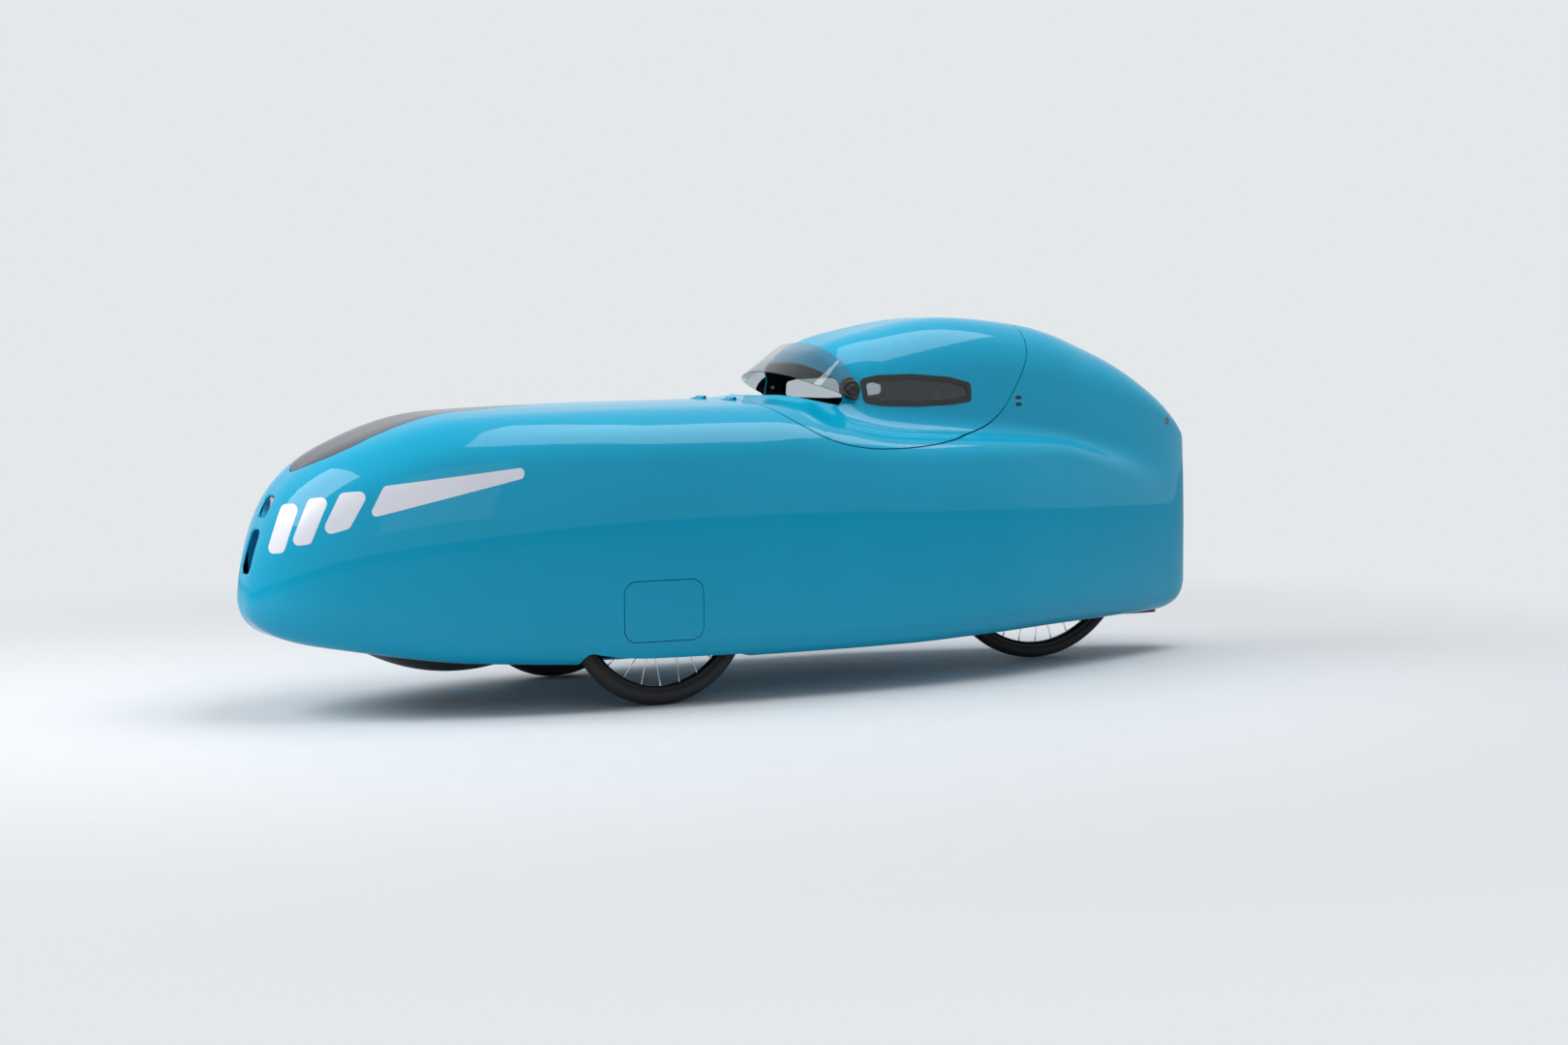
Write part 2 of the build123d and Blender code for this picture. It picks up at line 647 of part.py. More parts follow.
# Wheel wells: an arch with an inner wall, open to the ground and closed outwards by the skin
with BuildPart() as well_left:
    add(arch(FRONT_AXLE_X, FRONT_R, WELL_R + WELL_WALL, WELL_INNER_Y - WELL_WALL, REACH_Y))
    add(inner_half.part, mode=Mode.INTERSECT)
    add(arch(FRONT_AXLE_X, FRONT_R, WELL_R, WELL_INNER_Y, REACH_Y), mode=Mode.SUBTRACT)
    add(side_box(ROD_WINDOW_X, ROD_WINDOW_Z, 10, WELL_INNER_Y - 20, WELL_INNER_Y + 5), mode=Mode.SUBTRACT)
    with BuildSketch(Plane.XY.offset(KINGPIN_Z[1] - BOSS_HEIGHT)):
        with Locations((FRONT_AXLE_X, KINGPIN_Y)):
            Circle(BOSS_R)
    extrude(amount=2 * BOSS_HEIGHT)
    with BuildSketch(Plane.XY.offset(KINGPIN_Z[1] - BOSS_HEIGHT)):
        with Locations((FRONT_AXLE_X, KINGPIN_Y)):
            Circle(PIVOT_R + FIT)
    extrude(amount=2 * BOSS_HEIGHT, mode=Mode.SUBTRACT)
finish(well_left.part, "front_well_left")
finish(mirror(well_left.part, about=Plane.XZ), "front_well_right")

with BuildPart() as rear_well_half:
    add(arch(REAR_AXLE_X, REAR_R, REAR_WELL_R + WELL_WALL, 0, REAR_WELL_HALF + WELL_WALL))
    add(inner_half.part, mode=Mode.INTERSECT)
    add(arch(REAR_AXLE_X, REAR_R, REAR_WELL_R, 0, REAR_WELL_HALF), mode=Mode.SUBTRACT)
finish(both_sides(rear_well_half.part), "rear_well")


def band(profile, x, z):
    """Ring about a wheel's axle, from its profile of places along Y and radii."""
    with BuildPart() as ring:
        with BuildSketch(Plane.YZ.offset(x)):
            with BuildLine():
                Polyline(*[(y, z + r) for y, r in profile], close=True)
            make_face()
        revolve(axis=Axis((x, 0, z), (0, 1, 0)))
    return ring.part


def tyre(x, y, radius, bead):
    """Tyre with a round tread, whose section is eight straight facets."""
    height = radius - bead
    profile = (
        (y - 0.5 * TYRE_HALF, bead + RIM_SEAT), (y - TYRE_HALF, bead + 0.35 * height),
        (y - 0.9 * TYRE_HALF, bead + 0.72 * height), (y - 0.35 * TYRE_HALF, radius),
        (y + 0.35 * TYRE_HALF, radius), (y + 0.9 * TYRE_HALF, bead + 0.72 * height),
        (y + TYRE_HALF, bead + 0.35 * height), (y + 0.5 * TYRE_HALF, bead + RIM_SEAT),
    )
    return band(profile, x, radius)


def rim(x, y, axle_z, bead):
    """Box-section rim, flat outside and narrowed towards the spokes."""
    inner = bead - RIM_DEPTH
    profile = (
        (y - RIM_HALF, bead), (y - RIM_HALF, inner + 0.4 * RIM_DEPTH), (y - 0.55 * RIM_HALF, inner),
        (y + 0.55 * RIM_HALF, inner), (y + RIM_HALF, inner + 0.4 * RIM_DEPTH), (y + RIM_HALF, bead),
    )
    return band(profile, x, axle_z)


def spoke_between(start, end):
    """One straight spoke of square section."""
    run = Vector(*end) - Vector(*start)
    with BuildPart() as spoke:
        with BuildSketch(Plane(origin=start, z_dir=run.normalized())):
            Rectangle(SPOKE, SPOKE)
        extrude(amount=run.length)
    return spoke.part


def spoked(x, z, rim_y, rim_r, flanges, count):
    """All spokes of one wheel: they leave two flanges by turns and lean alternately forwards and back."""
    result = []
    for i in range(count):
        flange_y, flange_r = flanges[i % 2]
        lean = radians(SPOKE_LEAN) * (1 if (i // 2) % 2 else -1)
        angle = 2 * pi * i / count
        start = (x + flange_r * cos(angle + lean), flange_y, z + flange_r * sin(angle + lean))
        end = (x + rim_r * cos(angle), rim_y, z + rim_r * sin(angle))
        result.append(spoke_between(start, end))
    return result


# Left front wheel; the right one is its mirror image
drum_in, hub_out = FRONT_HUB_Y
with BuildPart() as tyre_left:
    add(tyre(FRONT_AXLE_X, HALF_TRACK, FRONT_R, FRONT_BEAD_R))
with BuildPart() as rim_left:
    add(rim(FRONT_AXLE_X, HALF_TRACK, FRONT_R, FRONT_BEAD_R))
front_flanges = ((drum_in + DRUM_WIDTH - 3, DRUM_R - 3), (hub_out - 3, FLANGE_R - 2))
with BuildPart() as hub_left:
    add(band(((drum_in, STUB_R + FIT), (drum_in, DRUM_R), (drum_in + DRUM_WIDTH, DRUM_R),
              (drum_in + DRUM_WIDTH, HUB_R), (hub_out - FLANGE_WIDTH, HUB_R),
              (hub_out - FLANGE_WIDTH, FLANGE_R), (hub_out, FLANGE_R), (hub_out, STUB_R + FIT)),
             FRONT_AXLE_X, FRONT_R))
    add(spoked(FRONT_AXLE_X, FRONT_R, HALF_TRACK, FRONT_BEAD_R - RIM_DEPTH, front_flanges, FRONT_SPOKES))
for label, piece in (("front_tyre", tyre_left.part), ("front_rim", rim_left.part), ("front_hub", hub_left.part)):
    finish(piece, f"{label}_left")
    finish(mirror(piece, about=Plane.XZ), f"{label}_right")

# Rear wheel with its sprockets on the right
with BuildPart() as rear_tyre:
    add(tyre(REAR_AXLE_X, 0, REAR_R, REAR_BEAD_R))
finish(rear_tyre.part, "rear_tyre")
with BuildPart() as rear_rim:
    add(rim(REAR_AXLE_X, 0, REAR_R, REAR_BEAD_R))
finish(rear_rim.part, "rear_rim")
rear_flanges = ((REAR_FLANGE_Y - 2, FLANGE_R - 2), (2 - REAR_FLANGE_Y, FLANGE_R - 2))
with BuildPart() as rear_hub:
    add(band(((-REAR_HUB_HALF, REAR_STUB_R + FIT), (-REAR_HUB_HALF, HUB_R), (REAR_HUB_HALF, HUB_R),
              (REAR_HUB_HALF, REAR_STUB_R + FIT)), REAR_AXLE_X, REAR_R))
    for side in (1, -1):
        add(band(((side * (REAR_FLANGE_Y - FLANGE_WIDTH), HUB_R - 1), (side * (REAR_FLANGE_Y - FLANGE_WIDTH), FLANGE_R),
                  (side * REAR_FLANGE_Y, FLANGE_R), (side * REAR_FLANGE_Y, HUB_R - 1)), REAR_AXLE_X, REAR_R))
    for cog_y, cog_r in COG_ROWS:
        add(band(((cog_y, HUB_R - 1), (cog_y, cog_r), (cog_y + COG_WIDTH, cog_r), (cog_y + COG_WIDTH, HUB_R - 1)),
                 REAR_AXLE_X, REAR_R))
    add(spoked(REAR_AXLE_X, REAR_R, 0, REAR_BEAD_R - RIM_DEPTH, rear_flanges, REAR_SPOKES))
finish(rear_hub.part, "rear_hub")

# Left knuckle with its stub axle, brake plate and steering arm, and the strut that turns with it
arm_end = (FRONT_AXLE_X - ARM_LENGTH, KINGPIN_Y)
with BuildPart() as knuckle_left:
    with BuildSketch(Plane.XY.offset(BEAM_Z[1] + 3)):
        with Locations((FRONT_AXLE_X, KINGPIN_Y)):
            Circle(CLAMP_R)
    extrude(amount=CLAMP_TOP_Z - BEAM_Z[1] - 3)
    with BuildSketch(Plane.XY.offset(KINGPIN_Z[0])):
        with Locations((FRONT_AXLE_X, KINGPIN_Y)):
            Circle(PIVOT_R)
    extrude(amount=BEAM_Z[1] + 4 - KINGPIN_Z[0])
    add(band(((KINGPIN_Y, 0), (KINGPIN_Y, STUB_R), (hub_out + NUT_GAP, STUB_R), (hub_out + NUT_GAP, NUT_R),
              (hub_out + NUT_GAP + NUT_WIDTH, NUT_R), (hub_out + NUT_GAP + NUT_WIDTH, 0)),
             FRONT_AXLE_X, FRONT_R))
    add(band(((drum_in - DRUM_GAP - PLATE_WIDTH, 0), (drum_in - DRUM_GAP - PLATE_WIDTH, DRUM_R),
              (drum_in - DRUM_GAP, DRUM_R), (drum_in - DRUM_GAP, 0)), FRONT_AXLE_X, FRONT_R))
    with BuildSketch(Plane.XY.offset(ARM_Z)):
        with Locations((FRONT_AXLE_X - ARM_LENGTH / 2, KINGPIN_Y)):
            SlotCenterToCenter(ARM_LENGTH, 2 * EYE_R)
    extrude(amount=ARM_THICK)
    with BuildSketch(Plane.XY.offset(ARM_Z + ARM_THICK)):
        with Locations(arm_end):
            Circle(EYE_PIN_R)
    extrude(amount=EYE_GAP + EYE_HEIGHT + 3)
with BuildPart() as strut_left:
    with BuildSketch(Plane.XY.offset(CLAMP_TOP_Z)):
        with Locations((FRONT_AXLE_X, KINGPIN_Y)):
            Circle(KINGPIN_R)
    extrude(amount=KINGPIN_Z[1] - BOSS_HEIGHT - STRUT_GAP - CLAMP_TOP_Z)
    with BuildSketch(Plane.XY.offset(KINGPIN_Z[1] - BOSS_HEIGHT - STRUT_GAP)):
        with Locations((FRONT_AXLE_X, KINGPIN_Y)):
            Circle(PIVOT_R)
    extrude(amount=2 * BOSS_HEIGHT + STRUT_GAP)
for label, piece in (("knuckle", knuckle_left.part), ("strut", strut_left.part)):
    finish(piece, f"{label}_left")
    finish(mirror(piece, about=Plane.XZ), f"{label}_right")

# Cross beam that carries the kingpins' feet and the tiller's pivot
with BuildPart() as front_beam:
    with BuildSketch(Plane.XY.offset(BEAM_Z[0])):
        with Locations((FRONT_AXLE_X, 0)):
            Rectangle(BEAM_DEPTH, 2 * KINGPIN_Y)
        with Locations((FRONT_AXLE_X, KINGPIN_Y), (FRONT_AXLE_X, -KINGPIN_Y)):
            Circle(KINGPIN_R)
        with Locations((FRONT_AXLE_X, KINGPIN_Y), (FRONT_AXLE_X, -KINGPIN_Y)):
            Circle(PIVOT_R + FIT, mode=Mode.SUBTRACT)
    extrude(amount=BEAM_Z[1] - BEAM_Z[0])
    with BuildSketch(Plane.XY.offset(BEAM_Z[0])):
        with Locations((FRONT_AXLE_X, BRACKET_Y), (FRONT_AXLE_X, -BRACKET_Y)):
            RectangleRounded(BRACKET_LENGTH, BEAM_DEPTH, 5)
    extrude(amount=-(BEAM_Z[0] - FLOOR_Z))
    with BuildSketch(Plane.XY.offset(BEAM_Z[1])):
        with Locations((FRONT_AXLE_X, 0)):
            Circle(PIVOT_R)
    extrude(amount=TILLER_Z[1] - BEAM_Z[1])
finish(front_beam.part, "front_beam")

# Tie rods: the left one lies low, the right one rises to the upper seat of the tiller's pin
rod_low_z = ARM_Z + ARM_THICK + EYE_GAP
rod_high_z = rod_low_z + EYE_HEIGHT + ROD_STEP
for label, side, inner_z in (("tie_rod_left", 1, rod_low_z), ("tie_rod_right", -1, rod_high_z)):
    middle = EYE_HEIGHT / 2
    outer_end = (arm_end[0], side * (KINGPIN_Y - EYE_R + 2), rod_low_z + middle)
    inner_end = (arm_end[0], side * (EYE_R - 2), inner_z + middle)
    run = Vector(*outer_end) - Vector(*inner_end)
    with BuildPart() as tie_rod:
        for eye_y, eye_z in ((side * KINGPIN_Y, rod_low_z), (0, inner_z)):
            with BuildSketch(Plane.XY.offset(eye_z)):
                with Locations((arm_end[0], eye_y)):
                    Circle(EYE_R)
            extrude(amount=EYE_HEIGHT)
        with BuildSketch(Plane(origin=inner_end, z_dir=run.normalized())):
            Circle(ROD_R)
        extrude(amount=run.length)
        for eye_y, eye_z in ((side * KINGPIN_Y, rod_low_z), (0, inner_z)):
            with BuildSketch(Plane.XY.offset(eye_z - 1)):
                with Locations((arm_end[0], eye_y)):
                    Circle(EYE_PIN_R + FIT)
            extrude(amount=EYE_HEIGHT + 2, mode=Mode.SUBTRACT)
    finish(tie_rod.part, label)

# Tiller: crank plate, column bent back to the rider, and a cross grip
with BuildPart() as tiller:
    with BuildSketch(Plane.XY.offset(ARM_Z)):
        with Locations((FRONT_AXLE_X - ARM_LENGTH / 2, 0)):
            SlotCenterToCenter(ARM_LENGTH, 2 * EYE_R)
        with Locations((FRONT_AXLE_X, 0)):
            Circle(CLAMP_R)
    extrude(amount=ARM_THICK)
    with BuildSketch(Plane.XY.offset(TILLER_Z[0])):
        with Locations((FRONT_AXLE_X, 0)):
            Circle(CLAMP_R - 3)
    extrude(amount=TILLER_LINE[0][1] + 4 - TILLER_Z[0])
    with BuildSketch(Plane.XY.offset(TILLER_Z[0])):
        with Locations((FRONT_AXLE_X, 0)):
            Circle(PIVOT_R + FIT)
    extrude(amount=TILLER_Z[1] + 2 - TILLER_Z[0], mode=Mode.SUBTRACT)
    with BuildSketch(Plane.XY.offset(ARM_Z + ARM_THICK)):
        with Locations((arm_end[0], 0)):
            Circle(EYE_PIN_R)
    extrude(amount=rod_high_z + EYE_HEIGHT + 3 - ARM_Z - ARM_THICK)
    with BuildLine(Plane.XZ):
        FilletPolyline(*TILLER_LINE, radius=TILLER_BEND_R)
    with BuildSketch(Plane.XY.offset(TILLER_LINE[0][1])):
        with Locations((FRONT_AXLE_X, 0)):
            Circle(TILLER_R)
    sweep()
    add(cross_bar(*TILLER_LINE[-1], TILLER_R, -GRIP_Y[0], GRIP_Y[0]))
    add(cross_bar(*TILLER_LINE[-1], GRIP_R, *GRIP_Y))
    add(cross_bar(*TILLER_LINE[-1], GRIP_R, -GRIP_Y[1], -GRIP_Y[0]))
finish(tiller.part, "tiller")

# Rear swing arm: two blades on a pivot tube that runs from wall to wall, and the axle between them
pivot_x, pivot_z = SWING_PIVOT
blade_length = hypot(REAR_AXLE_X - pivot_x, REAR_R - pivot_z)
blade_angle = atan2(REAR_R - pivot_z, REAR_AXLE_X - pivot_x)
with BuildPart() as swing_arm:
    for low in (BLADE_Y[0], -BLADE_Y[1]):
        with BuildSketch(Plane.XZ.offset(-low)):
            with Locations(((pivot_x + REAR_AXLE_X) / 2, (pivot_z + REAR_R) / 2)):
                SlotCenterToCenter(blade_length, BLADE_WIDTH, rotation=degrees(blade_angle))
        extrude(amount=-(BLADE_Y[1] - BLADE_Y[0]))
    with BuildSketch(Plane.XZ.offset(-(REAR_WELL_HALF - SEAT_GAP))):
        with Locations(SWING_PIVOT):
            Circle(SWING_PIVOT_R)
    extrude(amount=2 * (REAR_WELL_HALF - SEAT_GAP))
    with BuildSketch(Plane.XZ.offset(-BLADE_Y[1])):
        with Locations((REAR_AXLE_X, REAR_R)):
            Circle(REAR_STUB_R)
    extrude(amount=2 * BLADE_Y[1])
finish(swing_arm.part, "swing_arm")


def strip_along(line, radius, thickness, half):
    """Sheet of even thickness that follows a side-view line, from one side to the other."""
    upper = moved_line(line, thickness)
    with BuildPart() as strip:
        with BuildSketch(Plane.XZ.offset(-half)):
            with BuildLine():
                FilletPolyline(*line, radius=radius)
                FilletPolyline(*upper, radius=radius + thickness)
                Line(line[0], upper[0])
                Line(line[-1], upper[-1])
            make_face()
        extrude(amount=2 * half)
    return strip.part


def shortened(line, margin):
    """A line whose two ends are drawn in along their runs."""
    ends = []
    for end, inner in ((line[0], line[1]), (line[-1], line[-2])):
        share = margin / hypot(inner[0] - end[0], inner[1] - end[1])
        ends.append((end[0] + share * (inner[0] - end[0]), end[1] + share * (inner[1] - end[1])))
    return [ends[0], *line[1:-1], ends[1]]


# Seat shell on two feet, and its pad
above_seat = strip_along(moved_line(SEAT_LINE, -SEAT_SHELL), SEAT_BEND_R - SEAT_SHELL, -PAD, SEAT_HALF)
with BuildPart() as seat_shell:
    add(strip_along(SEAT_LINE, SEAT_BEND_R, -SEAT_SHELL, SEAT_HALF))
    with BuildSketch(Plane.XY.offset(FLOOR_Z)):
        with Locations(*SEAT_FEET):
            RectangleRounded(*SEAT_FOOT, 5)
    extrude(amount=SEAT_LINE[1][1] + 8 - FLOOR_Z)
    add(above_seat, mode=Mode.SUBTRACT)
finish(seat_shell.part, "seat_shell")
with BuildPart() as seat_pad:
    pad_line = shortened(moved_line(SEAT_LINE[:4], -(SEAT_SHELL + SEAT_GAP)), PAD_MARGIN)
    add(strip_along(pad_line, SEAT_BEND_R - SEAT_SHELL - SEAT_GAP, -PAD, PAD_HALF))
finish(seat_pad.part, "seat_pad")
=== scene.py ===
"""Looks of the velomobile: smooth body panels, wheels, glazing, trim, materials, light and camera.

Every piece is in metres in the row frame: +X to the nose, +Y to the vehicle's left, +Z up, ground at z = 0.
"""
import logging
import math
from dataclasses import dataclass, field
from enum import Enum
from typing import Sequence

import bmesh
import bpy
import numpy as np
from mathutils import Matrix, Vector


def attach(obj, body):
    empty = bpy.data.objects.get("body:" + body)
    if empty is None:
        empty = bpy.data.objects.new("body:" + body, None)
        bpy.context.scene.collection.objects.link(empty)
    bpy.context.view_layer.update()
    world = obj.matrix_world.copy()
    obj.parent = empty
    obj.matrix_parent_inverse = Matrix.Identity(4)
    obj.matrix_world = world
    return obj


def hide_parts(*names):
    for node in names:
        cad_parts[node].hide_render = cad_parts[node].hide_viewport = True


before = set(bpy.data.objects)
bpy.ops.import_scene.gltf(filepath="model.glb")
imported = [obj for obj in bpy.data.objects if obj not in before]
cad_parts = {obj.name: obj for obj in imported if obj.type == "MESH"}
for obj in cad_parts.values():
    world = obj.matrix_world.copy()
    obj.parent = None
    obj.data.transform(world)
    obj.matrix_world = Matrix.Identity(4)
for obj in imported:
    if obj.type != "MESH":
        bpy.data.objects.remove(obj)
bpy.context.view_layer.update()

LOG = logging.getLogger("velomobile")
MM = 0.001
TINY = 1e-12

# Body sections in millimetres: place along X, then the corners of the half section
SECTION_COLUMNS = (
    "x", "half", "bottom", "top", "corner", "side_z",
    "shoulder_y", "shoulder_z", "valley_y", "valley_z", "crown_y",
)
SECTION_ROWS = (
    (1316.5, 30, 246, 290, 14, 264, 27, 276, 20, 286, 9),
    (1289.0, 98, 204, 403, 40, 300, 89, 350, 64, 390, 30),
    (1230.0, 163, 174, 522, 55, 350, 146, 438, 105, 500, 50),
    (1100.0, 243, 149, 612, 62, 405, 222, 530, 158, 594, 74),
    (850.0, 326, 117, 684, 52, 450, 302, 600, 217, 668, 100),
    (450.0, 380, 104, 697, 36, 478, 356, 622, 256, 684, 118),
    (110.0, 385, 104, 701, 36, 480, 362, 626, 262, 688, 122),
    (10.0, 385, 104, 713, 36, 478, 362, 620, 250, 684, 90),
    (-70.0, 384, 104, 785, 36, 476, 360, 612, 206, 676, 92),
    (-130.0, 382, 104, 824, 37, 474, 358, 606, 226, 650, 150),
    (-250.0, 375, 104, 864, 39, 470, 346, 596, 228, 626, 186),
    (-495.0, 342, 107, 900, 46, 462, 314, 588, 220, 612, 190),
    (-750.0, 272, 111, 880, 46, 444, 248, 574, 182, 594, 166),
    (-1000.0, 180, 112, 803, 38, 415, 168, 508, 134, 550, 118),
    (-1180.0, 102, 113, 706, 27, 390, 97, 448, 88, 510, 72),
    (-1285.0, 46, 135, 618, 18, 362, 44, 415, 41, 485, 30),
    (-1316.5, 14, 190, 575, 8, 350, 13.4, 400, 12.4, 470, 8),
)
WIDTH_COLUMNS = ("half", "corner", "shoulder_y", "valley_y", "crown_y")
NOSE_POLE_Z = 268.0
TAIL_EDGE = 8.0
CORNER_SHARE = 0.9
WALL = 4.0
FINE_STEP = 2.0
ROW_STRIDE = 9
COLUMN_STRIDE = 4
ROW_BLUR = 8
TOP_SHARE = 0.35
RING_EASINGS = 6
LINE_SAMPLES = (42, 12, 48, 18, 15, 24, 30)
ARC_SAMPLES = (15, 15, 24, 24, 24, 24)
NEAR_REACH = 40.0
EDGE_SHARE = 0.3

# Outlines in millimetres: side view (x, z) unless said otherwise
HOOD_SEAM = ((125, 720), (104, 685), (50, 640), (-20, 602), (-120, 582), (-220, 580), (-320, 585),
             (-440, 602), (-545, 624), (-604, 662), (-660, 735), (-705, 810), (-730, 930))
HOOD_TOP_Z = 940.0
HOOD_GAP = 3.0
PANEL_GAP = 1.8
HATCH_PROUD = 0.2
TRIM_GAP = 0.3
# Bands of the skin that the seals are made of: reach to either side of the outline
HOOD_BAND = (9.0, 3.5)
PANEL_BAND = (5.0, 6.0)
# How far a piece's outer face stands out of the smooth form, and how far its inner face lies in
LENS_FACES = (-0.8, 3.4)
VENT_FACES = (-1.2, 3.4)
BORDER_FACES = (1.1, WALL)
PANE_FACES = (-0.6, 2.6)
PATCH_FACES = (0.3, -0.06)
SCREEN_CORNERS = ((60, 708), (0, 711), (-118, 685), (-134, 700), (-130, 746), (-80, 788), (-40, 798), (60, 798))
WINDOW_CORNERS = ((-184, 748), (-230, 757), (-330, 759), (-440, 750), (-502, 735),
                  (-502, 688), (-440, 681), (-330, 678), (-230, 682), (-188, 690))
WINDOW_BORDER = 14.0
COVER = (341.5, 541.5, 157.0, 299.0)
HATCH = (616.0, 1198.0, 104.0, 150.0)
VISOR_PIVOT = (-152.0, 722.0)
VISOR_LOW_RING = (700.0, 165.0, 222.0)
VISOR_HIGH_RING = (830.0, 60.0, 180.0)
VISOR_OUTLINE = ((-176, 701), (-60, 709), (60, 728), (60, 840), (-76, 828), (-150, 752), (-174, 738))
VISOR_RAISED = 19.0
FRONT_SLOT = (196.5, 629.0, 236.0, 355.5)
REAR_SLOT = (-1098.0, -578.0, -44.0, 44.0)
SLOT_HALF = 34.0
SLOT_BAYS = ((322.0, 430.0), (448.0, 506.0))
LAMP = (1200.3, 1243.0, 24.0, 477.0)
HINGE = (110.0, 703.0)
HINGE_BARREL = 5.0
HINGE_WEB = (20.0, -5.2, -1.4)
LUG_SPANS = ((60.0, 71.5), (88.5, 100.0))
LUG_PIN = 2.4
TAIL_LAMP = (-1223.5, 620.0, 10.0)
VENTS = ((-656.0, 695.0), (-656.0, 678.0))
VENT_SIZE = (21.0, 9.0)
PATCH_TURN = 28.8
PATCH_GROWTH = 3.6
NOSE_FROM = 640.0
PATCHES = (
    (11, ((1245.5, 86.6, 481.8), (1222.3, 125.0, 485.2), (1259.8, 124.6, 383.1), (1281.8, 89.3, 379.4))),
    (11, ((1201.5, 143.5, 496.2), (1169.7, 175.1, 501.1), (1211.9, 169.2, 403.4), (1242.6, 140.9, 398.5))),
    (11, ((1144.4, 193.0, 509.7), (1095.0, 225.0, 514.0), (1138.2, 216.4, 437.8), (1188.1, 185.4, 420.7))),
    (7, ((1059.9, 240.5, 524.3), (766.2, 325.6, 560.1), (767.6, 328.3, 542.9), (1093.5, 236.8, 460.9))),
)

# Wheels and seat, in millimetres
FRONT_WHEEL = (416.5, 302.0, 235.0)
REAR_WHEEL = (-838.5, 0.0, 307.5)
FRONT_BEAD = 203.0
REAR_BEAD = 279.5
# Hub profiles (y, radius), flanges (y, radius) and sprockets (from y, to y, radius)
FRONT_HUB = ((279, 7.6), (279, 43.6), (280.4, 45), (294.6, 45), (296, 43.6), (297.4, 20), (300, 18), (318, 18),
             (320.4, 19.6), (321.2, 26), (325, 26), (325, 7.6))
REAR_HUB = ((-34, 6.1), (-34, 17), (-33, 18), (-20.4, 18), (-20, 19), (-20, 25), (-19, 26), (-17, 26), (-16, 25),
            (-16, 19), (-14, 17), (14, 17), (16, 19), (16, 25), (17, 26), (19, 26), (20, 25), (20, 19), (20.4, 18),
            (33, 18), (34, 17), (34, 6.1))
FRONT_FLANGES = ((293.0, 42.0), (322.0, 24.0))
REAR_FLANGES = ((18.0, 24.0), (-18.0, 24.0))
COGS = ((-33.0, -31.0, 26.0), (-29.0, -27.0, 32.0), (-25.0, -23.0, 38.0))
FRONT_SPOKES = 24
REAR_SPOKES = 32
# Tyre and tread bed: half width, and height as a share of the height above the bead seat
TYRE_ROWS = ((8.0, 0.01), (11.6, 0.03), (14.2, 0.13), (15.6, 0.27), (16.0, 0.40), (15.5, 0.54), (14.0, 0.68),
             (11.6, 0.80), (8.8, 0.885), (5.8, 0.935), (2.4, 0.955))
TREAD_BED = ((0.0, 5.8, 8.8, 11.6), (0.955, 0.935, 0.885, 0.80))
# Tread blocks: inner edge, outer edge and shift around
TREAD_ROWS = ((0.6, 5.6, 0.0), (6.6, 10.4, 2.2))
TREAD_HALF = 2.7
TREAD_SLANT = 2.0
TREAD_TAPER = 0.12
TREAD_HEIGHT = 2.0
TREAD_FALL = 0.011
TREAD_SUNK = 0.6
TREAD_CLEAR = 0.02
TREAD_PITCH = 8.2
BLOCK_FACES = ((0, 1, 3, 2), (4, 6, 7, 5), (0, 4, 5, 1), (2, 3, 7, 6), (1, 5, 7, 3), (0, 2, 6, 4))
# Rim, valve, spoke and nipple: half width or place, and radius, from the bead seat or the spoke's end
RIM_ROWS = ((8.4, 0.0), (9.2, 1.6), (10.0, 1.4), (10.0, -4.2), (9.2, -7.4), (6.6, -12.0), (5.0, -13.0))
RIM_BED = (8.0, -2.4)
VALVE_ROWS = ((-40.0, 2.0), (-30.0, 2.0), (-29.9, 3.0), (-12.6, 3.0))
SPOKE_END = 12.8
SPOKE_LEAN = 38.0
SPOKE_HEAD = 1.5
SPOKE_RADII = (1.6, 0.95, 0.95)
NIPPLE_ROWS = ((11.0, 1.1), (10.0, 1.9), (1.0, 1.9), (0.0, 2.4))
# Drum bolts and sprockets
BOLTS = 5
BOLT_RING = (30.0, 0.0, 2.6, 6)
BOLT_DEPTHS = (16.2, 14.0)
COG_BORE = 17.4
COG_RIM = 4.4
CHAIN_PITCH = 12.7
TOOTH = ((-5.5, -3.6), (-5.5, 3.6), (-2.2, 2.2), (0.0, 0.9), (0.0, -0.9), (-2.2, -2.2))
# Lamp, from its front: bowl's start, depth and radius, its steps, the lens's bulge and radius, the source's profile
LAMP_BOWL = (4.0, 26.0, 20.5)
BOWL_STEPS = 8
LAMP_RIM = ((-1.5, 0.0), (0.0, -1.4), (0.0, -2.2), (-4.0, -3.0))
MIRROR_GAP = 0.3
MIRROR_WALL = 0.6
LENS_FORM = (0.5, 2.2, 21.3)
LENS_WALL = 1.5
SOURCE_ROWS = ((-28.0, 0.0), (-28.0, 4.0), (-22.0, 4.0), (-20.0, 2.6), (-19.4, 0.0))
# Seat
SEAT_LINE = ((96, 172), (-20, 122), (-120, 140), (-505, 520), (-560, 610))
SEAT_BEND = 70.0
PAD_LIFT = 3.3
PAD_THICK = 21.0
PAD_HALF = 150.0
PAD_MARGIN = 18.0

# Materials: noise per metre in paint and in dust, spread of the gloss, relief as a share of the grain
PEEL_SCALE = 4.0
SOIL_SCALE = 14.0
GLOSS_SPREAD = 0.15
RELIEF_SHARE = 0.2

# Studio lights: place in metres and size
KEY_LIGHT = ((4.1, -0.7, 3.3), 3.0)
TOP_LIGHT = ((-1.2, 0.6, 4.4), 3.5)
SIDE_LIGHT = ((2.2, 5.2, 2.4), 3.0)
LIGHT_AIM = (0.0, 0.0, 0.4)
FADE_FROM = 1.5
FADE_TO = 3.3

